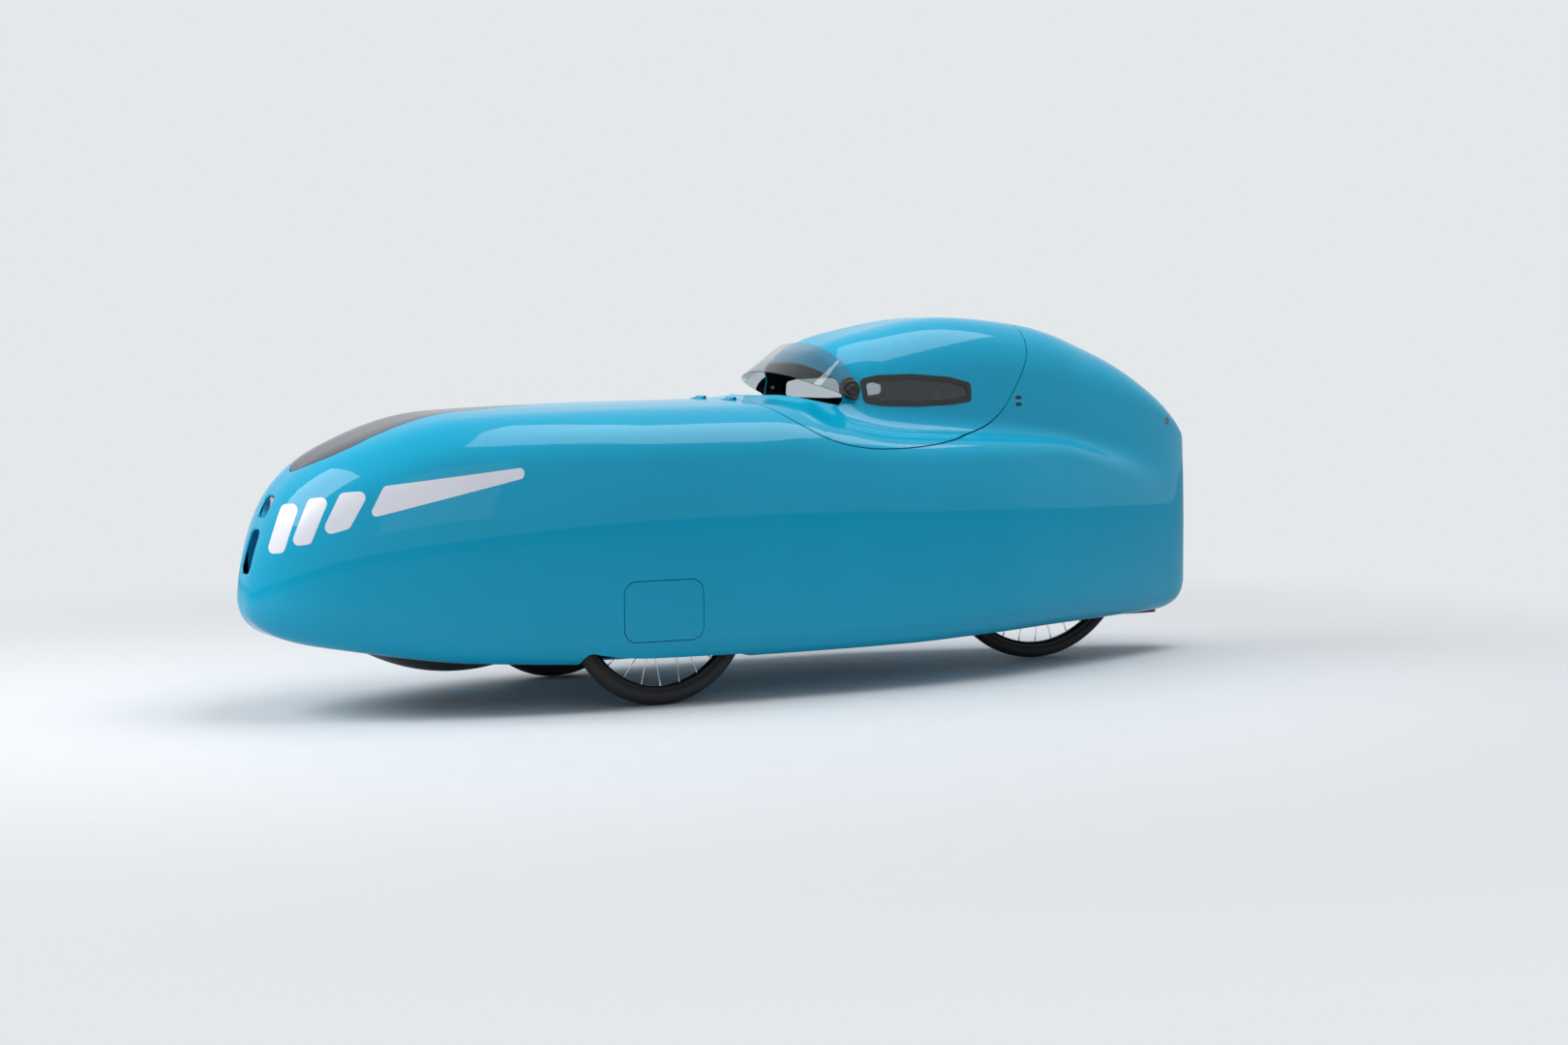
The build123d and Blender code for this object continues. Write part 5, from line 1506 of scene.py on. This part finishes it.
@dataclass
class Visor:
    """Bent clear visor with a dark boss at each pivot, raised as it is parked."""

    centre_x: float = VISOR_PIVOT[0]
    thickness: float = 2.0
    spread: float = 100.0
    heights: tuple = (690.0, 846.0)
    lobe: tuple = (-156.0, 716.0, 37.0)
    lobe_from: float = 120.0
    lobe_proud: float = 0.35
    lobe_reach: float = 6.0
    boss: tuple = ((213.0, 0.0), (213.0, 24.0), (215.2, 24.0), (216.4, 22.8), (216.4, 15.0), (217.6, 14.0),
                   (221.4, 13.2), (222.4, 12.0), (222.4, 6.5), (221.2, 5.6), (221.2, 0.0))
    pin: tuple = ((186.0, 0.0), (186.0, 4.4), (186.6, 5.0), (213.2, 5.0), (213.2, 0.0))
    ribs: int = 18
    rib_ring: tuple = (13.4, 0.0, 1.1, 8)
    rib_y: tuple = (217.4, 221.8)

    def sheet(self) -> Surface:
        """Draws the sheet's outer face before it is raised.

        Returns:
            The face, longer and higher than its outline.
        """
        angles = np.radians(np.linspace(-self.spread, self.spread, 161))
        heights = np.linspace(*self.heights, 40)
        share = (heights - VISOR_LOW_RING[0]) / (VISOR_HIGH_RING[0] - VISOR_LOW_RING[0])
        along = VISOR_LOW_RING[1] + share * (VISOR_HIGH_RING[1] - VISOR_LOW_RING[1])
        across = VISOR_LOW_RING[2] + share * (VISOR_HIGH_RING[2] - VISOR_LOW_RING[2])
        x = self.centre_x + along[:, None] * np.cos(angles)
        y = across[:, None] * np.sin(angles)
        grid = np.stack((x, y, np.repeat(heights[:, None], len(angles), axis=1)), axis=2) * MM
        normal = np.cross(np.gradient(grid, axis=1), np.gradient(grid, axis=0))
        normal /= np.linalg.norm(normal, axis=2, keepdims=True)
        faces = Hull.grid_faces(len(heights), len(angles))
        return Surface(grid.reshape(-1, 3), normal.reshape(-1, 3), faces)

    def raise_up(self, piece: bpy.types.Object, slot: str | None = None, *nodes: str) -> None:
        """Turns a piece up about the pivots and lets it ride.

        Args:
            piece: a piece of the visor.
            slot: its material slot's name, if it has one; passed on to dress(), which does not use it.
            nodes: the CAD nodes that it stands for.
        """
        pivot = Vector((VISOR_PIVOT[0], 0, VISOR_PIVOT[1])) * MM
        turn = Matrix.Rotation(-math.radians(VISOR_RAISED), 4, "Y")
        piece.data.transform(Matrix.Translation(pivot) @ turn @ Matrix.Translation(-pivot))
        dress(piece, "visor", slot, *nodes)

    def build(self) -> None:
        """Builds the sheet with its dark ends, the bosses, the pins and the knobs' grip ribs."""
        cut = Cut(View.SIDE, rounded_ring(VISOR_OUTLINE, 8.0), 2, 600.0)
        outer = self.sheet().near_outline(cut, (8.0, 4.0)).only(cut)
        self.raise_up(outer.shell("visor_sheet", CLEAR, 0, self.thickness), "window_clear", "visor")
        lobe = Cut(View.SIDE, disc_ring(*self.lobe), 1, 0.0)
        for side in Side:
            ends = outer.keep(side.value * outer.points[:, 1] / MM - self.lobe_from)
            dark = ends.refined(np.abs(lobe.depth(ends)) < self.lobe_reach)
            self.raise_up(dark.keep(lobe.depth(dark)).shell(
                f"visor_lobe_{side.tag}", PLASTIC, self.lobe_proud, self.thickness + self.lobe_proud))
        centre = (VISOR_PIVOT[0], 0.0, VISOR_PIVOT[1])
        self.raise_up(joined("visor_bosses", [turned_mesh(self.boss, centre, 48, side) for side in Side], PLASTIC))
        self.raise_up(joined("visor_pins", [turned_mesh(self.pin, centre, 24, side) for side in Side], ALUMINIUM))
        for side in Side:
            low, high = (side.value * y for y in self.rib_y)
            rib = extruded_mesh(disc_ring(*self.rib_ring), low, high, 0.3)
            ribs = joined(f"visor_knob_ribs_{side.tag}", [rib], PLASTIC)
            self.raise_up(repeated(ribs, RADIAL, {"Count": self.ribs}, centre))


@dataclass
class Lamp:
    """Headlamp in the upper bay of the nose slot."""

    back: float = LAMP[0]
    front: float = LAMP[1]
    radius: float = LAMP[2]
    height: float = LAMP[3]

    def about_x(self, profile: Sequence, steps: int = 56) -> Mesh:
        """Turns a form about the lamp's axis.

        Args:
            profile: places (x, radius) in order.
            steps: facets around.
        Returns:
            Places in millimetres and faces.
        """
        points, faces = turned_mesh(profile, (0, 0, 0), steps)
        return np.stack((points[:, 1], points[:, 0], points[:, 2] + self.height), axis=1), faces

    def build(self) -> None:
        """Builds the housing with its bowl, the lens and the light source."""
        r, x0, x1 = self.radius, self.back, self.front
        start, depth, wide = LAMP_BOWL
        shares = [k / BOWL_STEPS for k in range(1, BOWL_STEPS + 1)]
        bowl = [(x1 - start - depth * (1 - k ** 2), wide * k) for k in shares]
        floor = x1 - start - depth
        rim = [(x1 + x, r + rad) for x, rad in LAMP_RIM]
        housing = self.about_x([(x0, 0), (x0, r - 1), (x0 + 1, r)] + rim + bowl[::-1][1:] + [(floor, 0)])
        dress(joined("headlamp_housing", [housing], PLASTIC), "body", "lamp_lens", "headlamp")
        shine = [(x + MIRROR_GAP, rad) for x, rad in bowl]
        back = [(x, rad - MIRROR_WALL) for x, rad in shine[::-1]]
        ends = (floor + MIRROR_GAP, floor + MIRROR_GAP + MIRROR_WALL)
        mirror = self.about_x([(ends[0], 0)] + shine + back + [(ends[1], 0)])
        dress(joined("headlamp_mirror", [mirror], REFLECTOR), "body")
        sunk, bulge, round_r = LENS_FORM
        turns = np.linspace(0, math.pi / 2, 9)
        cap = [(x1 - sunk + bulge * math.cos(t), round_r * math.sin(t)) for t in turns]
        inner = [(x - LENS_WALL, rad * 0.99) for x, rad in cap[::-1]]
        dress(joined("headlamp_lens", [self.about_x(cap + inner)], LENS), "body")
        source = self.about_x([(x1 + x, rad) for x, rad in SOURCE_ROWS], 20)
        dress(joined("headlamp_source", [source], VINYL), "body")


@dataclass
class Wheel:
    """One wired wheel: tyre with its tread, rim, round spokes, nipples and hub."""

    name: str
    body: str
    node: str
    x: float
    y: float
    radius: float
    bead: float
    count: int
    flanges: tuple
    hub: tuple
    side: Side = Side.LEFT
    cogs: tuple = ()

    @property
    def centre(self) -> tuple[float, float, float]:
        """Returns: the wheel's middle in millimetres, on its own side."""
        return (self.x, self.side.value * self.y, self.radius)

    def dress(self, piece: bpy.types.Object, slot: str, node: str | None = None) -> None:
        """Lets a piece ride on the wheel.

        Args:
            piece: the piece.
            slot: its material slot's name; passed on to dress(), which does not use it.
            node: what its CAD node is called on this wheel, if it stands for one.
        """
        dress(piece, self.body, slot, *([self.node.format(node)] if node else []))

    def build(self) -> None:
        """Builds all the wheel's pieces."""
        self.tyre()
        self.rim()
        self.spokes()
        self.hub_piece()

    def tyre(self) -> None:
        """Tyre casing and two rows of slanted tread blocks."""
        h, b = self.radius - self.bead, self.bead
        half = [(y, b + share * h) for y, share in TYRE_ROWS]
        profile = half + [(-y, r) for y, r in half[::-1]]
        casing = joined(f"{self.name}_tyre", [turned_mesh(profile, self.centre, 112, closed=True)], RUBBER)
        self.dress(casing, "tyre", "tyre")
        blocks = []
        for sign in (1, -1):
            for inner, outer, shift in TREAD_ROWS:
                corners = []
                for y, slant in ((inner, 0.0), (outer, TREAD_SLANT)):
                    low = b + h * np.interp(y, *TREAD_BED) - TREAD_SUNK
                    for u in (-TREAD_HALF, TREAD_HALF):
                        for top in (0.0, 1.0):
                            r = min(low + top * (TREAD_HEIGHT - TREAD_FALL * y * y), self.radius - TREAD_CLEAR)
                            corners.append((u * (1 - TREAD_TAPER * top) + slant + shift, sign * y, r))
                blocks.append((np.array(corners), BLOCK_FACES))
        tread = joined(f"{self.name}_tread", blocks, RUBBER, 20)
        count = int(2 * math.pi * self.radius / TREAD_PITCH)
        self.dress(repeated(tread, RADIAL, {"Count": count}, self.centre), "tyre")

    def rim(self) -> None:
        """Rim with its flanges and the valve."""
        b = self.bead
        half = [(y, b + r) for y, r in RIM_ROWS]
        bed_y, bed_r = RIM_BED
        profile = half + [(-y, r) for y, r in half[::-1]] + [(-bed_y, b + bed_r), (bed_y, b + bed_r)]
        band = turned_mesh(profile, self.centre, 112, closed=True)
        self.dress(joined(f"{self.name}_rim", [band], ANODISED, 30), "rim_black", "rim")
        x, y, z = self.centre
        up = np.array([(x, y, z + b + down) for down, _ in VALVE_ROWS])
        stem = tube_mesh(up, [radius for _, radius in VALVE_ROWS], 12)
        self.dress(joined(f"{self.name}_valve", [stem], ALUMINIUM), "hub_metal")

    def spokes(self) -> None:
        """Round crossed spokes with their heads, and the nipples at the rim."""
        wires, nipples = [], []
        for i in range(4):
            flange_y, flange_r = self.flanges[i % 2]
            flange_y = self.side.value * (flange_y - self.y)
            lean = math.radians(SPOKE_LEAN) * (1 if (i // 2) % 2 else -1)
            angle = 2 * math.pi * i / self.count
            start = np.array((flange_r * math.cos(angle + lean), flange_y, flange_r * math.sin(angle + lean)))
            end_r = self.bead - SPOKE_END
            end = np.array((end_r * math.cos(angle), 0.0, end_r * math.sin(angle)))
            run = (end - start) / np.linalg.norm(end - start)
            wires.append(tube_mesh(np.array((start - SPOKE_HEAD * run, start, end)), SPOKE_RADII, 8))
            places = np.array([end - back * run for back, _ in NIPPLE_ROWS])
            nipples.append(tube_mesh(places, [radius for _, radius in NIPPLE_ROWS], 8))
        for label, parts, finish in (("spokes", wires, STEEL), ("nipples", nipples, ALUMINIUM)):
            piece = joined(f"{self.name}_{label}", parts, finish)
            self.dress(repeated(piece, RADIAL, {"Count": self.count // 4}, self.centre), "hub_metal")

    def hub_piece(self) -> None:
        """Turned hub with its flanges, bolts and any sprockets."""
        profile = [(y - self.y, r) for y, r in self.hub]
        turned = turned_mesh(profile, (self.x, self.y, self.radius), 64, self.side, closed=True)
        self.dress(joined(f"{self.name}_hub", [turned], ALUMINIUM, 30), "hub_metal", "hub")
        if not self.cogs:
            low, high = (self.side.value * (self.hub[-1][0] - self.y - depth) for depth in BOLT_DEPTHS)
            bolts = joined(f"{self.name}_drum_bolts", [extruded_mesh(disc_ring(*BOLT_RING), low, high, 0.3)], STEEL)
            self.dress(repeated(bolts, RADIAL, {"Count": BOLTS}, self.centre), "hub_metal")
        for number, (low, high, radius) in enumerate(self.cogs, 1):
            root = radius - COG_RIM
            ring = turned_mesh(((low, COG_BORE), (low, root), (high, root), (high, COG_BORE)), self.centre, 64,
                               closed=True)
            teeth = int(round(2 * math.pi * (radius - 2) / CHAIN_PITCH))
            tooth = extruded_mesh(np.array([(radius + down, z) for down, z in TOOTH]), low, high, 0.2)
            blank = joined(f"sprocket_teeth_{number}", [tooth], STEEL)
            self.dress(repeated(blank, RADIAL, {"Count": teeth}, self.centre), "hub_metal")
            self.dress(joined(f"sprocket_{number}", [ring], STEEL), "hub_metal")


def rounded_path(points: Sequence, radius: float, step: float) -> np.ndarray:
    """Line with round bends, resampled at an even step.

    Args:
        points: its corners.
        radius: radius of the bends.
        step: distance between the places.
    Returns:
        The places.
    """
    line = rounded_ring(points, radius, closed=False, steps=24)
    length = np.concatenate(([0.0], np.cumsum(np.linalg.norm(np.diff(line, axis=0), axis=1))))
    at = np.linspace(0, length[-1], int(length[-1] / step) + 1)
    return np.stack([np.interp(at, length, line[:, k]) for k in range(line.shape[1])], axis=1)


@dataclass
class SeatPad:
    """Padded seat cover with sewn channels, a bound edge and its stitches."""

    thick: float = PAD_THICK
    half: float = PAD_HALF
    channel: float = 62.0
    channel_depth: float = 6.0
    channel_width: float = 7.0
    channel_slant: float = 0.18
    seam: float = 0.62
    edge: float = 26.0
    edge_thick: float = 7.0
    step: float = 5.0
    columns: int = 61
    stitch_pitch: float = 6.0

    def line(self) -> tuple[np.ndarray, np.ndarray]:
        """Draws the pad's underside.

        Returns:
            Its places (x, z), and the directions up from it.
        """
        p = np.array(SEAT_LINE, float)
        for end, inner in ((0, 1), (-1, -2)):
            run = p[inner] - p[end]
            p[end] = p[end] + run * PAD_MARGIN / np.linalg.norm(run)
        line = rounded_path(p, SEAT_BEND, self.step)
        ahead = np.gradient(line, axis=0)
        ahead /= np.linalg.norm(ahead, axis=1, keepdims=True)
        up = np.stack((ahead[:, 1], -ahead[:, 0]), axis=1)
        return line + up * PAD_LIFT, up

    def build(self) -> None:
        """Builds the pad, its binding and the stitches."""
        line, up = self.line()
        n, m = len(line), self.columns
        along = np.arange(n) * self.step
        across = np.linspace(-self.half, self.half, m)
        aside, seam = np.abs(across)[None], self.seam * self.half
        from_end = np.minimum(along, along[-1] - along)[:, None]
        inward = np.clip(np.minimum(from_end, self.half - aside) / self.edge, 0, 1)
        crown = self.edge_thick + (self.thick - self.edge_thick) * np.sqrt(inward)
        phase = (along[:, None] + self.channel_slant * aside) % self.channel
        groove = np.exp(-(np.minimum(phase, self.channel - phase) / self.channel_width) ** 2)
        bead = np.exp(-((aside - seam) / self.channel_width) ** 2)
        sewn = np.clip(np.maximum(groove * (aside < seam), bead), 0, 1)
        height = np.minimum(crown - self.channel_depth * sewn * inward, self.thick)
        x, z = np.repeat(line[:, :1], m, 1), np.repeat(line[:, 1:], m, 1)
        ground = np.stack((x, np.repeat(across[None], n, 0), z), axis=2)
        lift = np.stack((up[:, 0], np.zeros(n), up[:, 1]), axis=1)[:, None]
        top = ground + lift * height[:, :, None]
        points = np.concatenate((top.reshape(-1, 3), ground.reshape(-1, 3)))
        faces = []
        for i in range(n - 1):
            for j in range(m - 1):
                a = i * m + j
                faces.append((a, a + 1, a + m + 1, a + m))
                b = a + n * m
                faces.append((b, b + m, b + m + 1, b + 1))
        ring = [*range(m)] + [i * m + m - 1 for i in range(1, n)]
        ring += [(n - 1) * m + j for j in range(m - 2, -1, -1)] + [i * m for i in range(n - 2, 0, -1)]
        for a, b in zip(ring, ring[1:] + ring[:1]):
            faces.append((a, a + n * m, b + n * m, b))
        pad = joined("seat_pad_cover", [(points, faces)], FABRIC, 60)
        dress(pad, "body", "seat_fabric", "seat_pad")
        edge = (ground + lift * (self.edge_thick / 2)).reshape(-1, 3)[ring]
        dress(joined("seat_pad_binding", [tube_mesh(edge, 3.4, 10, closed=True)], BINDING), "body")
        self.stitches(top)

    def stitches(self, top: np.ndarray) -> None:
        """Sets stitches inside the pad's edge.

        Args:
            top: places of the pad's top, as (rows, columns, 3).
        """
        inner = top[2:-2, 3:-3]
        k, c = inner.shape[0], inner.shape[1]
        loop = [(0, j) for j in range(c)] + [(i, c - 1) for i in range(1, k)]
        loop += [(k - 1, j) for j in range(c - 2, -1, -1)] + [(i, 0) for i in range(k - 2, 0, -1)]
        path = np.array([inner[i, j] for i, j in loop])
        curve = bpy.data.curves.new("stitch_path", "CURVE")
        curve.dimensions = "3D"
        spline = curve.splines.new("POLY")
        spline.points.add(len(path) - 1)
        spline.points.foreach_set("co", np.insert(path * MM, 3, 1.0, axis=1).ravel())
        spline.use_cyclic_u = True
        guide = linked("stitch_path", curve)
        thread = tube_mesh(np.array(((0, 0, -2.0), (0, 0, -1.4), (0, 0, 1.4), (0, 0, 2.0))), (0.3, 0.6, 0.6, 0.3), 6)
        item = joined("seat_pad_stitches", [thread], VINYL)
        repeated(item, PATH, {"Path": guide, "Spacing": self.stitch_pitch * MM})
        bpy.data.objects.remove(guide)
        dress(item, "body")


NODE_FINISHES = {
    "front_beam": ANODISED, "knuckle_left": ALUMINIUM, "knuckle_right": ALUMINIUM, "strut_left": COATED,
    "strut_right": COATED, "tie_rod_left": STEEL, "tie_rod_right": STEEL, "swing_arm": COATED, "tiller": COATED,
    "seat_shell": LAMINATE, "front_well_left": LAMINATE, "front_well_right": LAMINATE, "rear_well": LAMINATE,
    # The nose insert gets the intake's painted shade: the body's turquoise made darker
    "nose_insert": SHADED_INTAKE, "heel_blister": PLASTIC, "tail_strip": PLASTIC, "hinge_eyes": PAINT,
    "visor_bush_left": PLASTIC, "visor_bush_right": PLASTIC,
}


def dress_nodes() -> None:
    """Gives every CAD node that still shows its finish."""
    for name, finish in NODE_FINISHES.items():
        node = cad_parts[name]
        if not node.material_slots:
            node.data.materials.append(None)
        for slot in node.material_slots:
            slot.material = MATERIALS.get(finish)


def direct_rays(tree: bpy.types.NodeTree) -> tuple:
    """Adds the nodes that tell the rays of the camera, also those through clear sheets.

    Args:
        tree: a material's or the world's node tree.
    Returns:
        All outputs on the kind of ray, and the output that is 1 for those rays.
    """
    rays = add_node(tree, "ShaderNodeLightPath").outputs
    seen = add_node(tree, "ShaderNodeMath", {"operation": "MAXIMUM"}, {
        0: rays["Is Camera Ray"], 1: rays["Is Transmission Ray"]})
    return rays, seen.outputs[0]


@dataclass
class Studio:
    """Pale floor, soft lights and the camera."""

    floor_half: float = 30.0
    key_watts: float = 190.0
    top_watts: float = 150.0
    side_watts: float = 18.0
    sky: float = 0.34
    backdrop: str = "#E4E8EB"

    def build(self) -> None:
        """Builds the floor, the lights, the world and the camera."""
        s = self.floor_half
        mesh = bpy.data.meshes.new("floor")
        mesh.from_pydata(((-s, -s, 0), (s, -s, 0), (s, s, 0), (-s, s, 0)), [], [(0, 1, 2, 3)])
        floor = linked("floor", mesh, FLOOR)
        self.fade(floor.data.materials[0], self.backdrop)
        self.light("key", *KEY_LIGHT, self.key_watts)
        self.light("top", *TOP_LIGHT, self.top_watts)
        self.light("side", *SIDE_LIGHT, self.side_watts)
        self.world()
        self.camera()

    @staticmethod
    def fade(material: bpy.types.Material, backdrop: str) -> None:
        """Lets the floor turn into the backdrop further away.

        Args:
            material: the floor's material.
            backdrop: the backdrop's colour.
        """
        tree = material.node_tree
        output = next(n for n in tree.nodes if n.type == "OUTPUT_MATERIAL")
        shaded = output.inputs["Surface"].links[0].from_socket
        place = add_node(tree, "ShaderNodeTexCoord").outputs["Object"]
        distance = add_node(tree, "ShaderNodeVectorMath", {"operation": "LENGTH"}, {0: place})
        far = add_node(tree, "ShaderNodeMapRange", {
            "From Min": FADE_FROM, "From Max": FADE_TO, "interpolation_type": "SMOOTHSTEP",
        }, {"Value": distance.outputs["Value"]})
        share = add_node(tree, "ShaderNodeMath", {"operation": "MULTIPLY"}, {
            0: far.outputs["Result"], 1: direct_rays(tree)[1]})
        white = add_node(tree, "ShaderNodeEmission", {"Color": linear(backdrop), "Strength": 1.0})
        mix = add_node(tree, "ShaderNodeMixShader", links={0: share.outputs[0], 1: shaded, 2: white.outputs[0]})
        tree.links.new(mix.outputs[0], output.inputs["Surface"])

    def light(self, name: str, place: Sequence, size: float, watts: float) -> None:
        """Aims a soft square light at the object.

        Args:
            name: the light's name.
            place: where it hangs, in metres.
            size: its side, in metres.
            watts: its power.
        """
        data = bpy.data.lights.new(name, "AREA")
        data.size = size
        data.energy = watts
        lamp = linked(name, data)
        lamp.location = place
        lamp.rotation_euler = (Vector(LIGHT_AIM) - Vector(place)).to_track_quat("-Z", "Y").to_euler()

    def world(self) -> None:
        """White behind the object and in its reflections, soft grey as light."""
        world = bpy.data.worlds.new("studio")
        bpy.context.scene.world = world
        world.use_nodes = True
        tree = world.node_tree
        tree.nodes.clear()
        rays, direct = direct_rays(tree)
        seen = add_node(tree, "ShaderNodeMath", {"operation": "MAXIMUM"}, {0: direct, 1: rays["Is Glossy Ray"]})
        soft = add_node(tree, "ShaderNodeBackground", {"Color": linear("#EEF2F6"), "Strength": self.sky})
        white = add_node(tree, "ShaderNodeBackground", {"Color": linear(self.backdrop), "Strength": 1.0})
        mix = add_node(tree, "ShaderNodeMixShader", links={
            0: seen.outputs[0], 1: soft.outputs[0], 2: white.outputs[0]})
        add_node(tree, "ShaderNodeOutputWorld", links={"Surface": mix.outputs[0]})

    def camera(self) -> None:
        """Camera as fitted to the photograph."""
        data = bpy.data.cameras.new("camera")
        data.lens = CAMERA_LENS
        data.sensor_width = SENSOR
        camera = linked("camera", data)
        yaw, pitch = math.radians(CAMERA_YAW), math.radians(CAMERA_PITCH)
        ahead = Vector((-math.sin(yaw) * math.cos(pitch), -math.cos(yaw) * math.cos(pitch), -math.sin(pitch)))
        turn = ahead.to_track_quat("-Z", "Y").to_matrix().to_4x4()
        roll = Matrix.Rotation(math.radians(CAMERA_ROLL), 4, "Z")
        camera.matrix_world = Matrix.Translation(CAMERA_PLACE) @ turn @ roll
        bpy.context.scene.camera = camera


def front_wheel(side: Side) -> Wheel:
    """Sizes one front wheel.

    Args:
        side: left or right.
    Returns:
        That wheel.
    """
    return Wheel(f"front_{side.tag}", f"wheel_front_{side.tag}", f"front_{{}}_{side.tag}", *FRONT_WHEEL,
                 FRONT_BEAD, FRONT_SPOKES, FRONT_FLANGES, FRONT_HUB, side)


def rear_wheel() -> Wheel:
    """Sizes the rear wheel with its sprockets.

    Returns:
        The wheel.
    """
    return Wheel("rear", "wheel_rear", "rear_{}", *REAR_WHEEL, REAR_BEAD, REAR_SPOKES, REAR_FLANGES, REAR_HUB,
                 cogs=COGS)


RADIAL = radial_tree()
PATH = path_tree()


def main() -> None:
    """Builds every piece, the materials, the studio and the camera."""
    logging.basicConfig(level=logging.INFO, format="%(relativeCreated)d ms %(message)s")
    hull = Hull()
    wheels = (*(front_wheel(side) for side in Side), rear_wheel())
    builders = (Body(hull), Hood(hull), Visor(), Lamp(), *wheels, SeatPad())
    for builder in builders:
        builder.build()
        LOG.info("%s built", type(builder).__name__)
    dress_nodes()
    Studio().build()
    bpy.context.scene.view_settings.view_transform = "Standard"


if __name__ == "__main__":
    main()
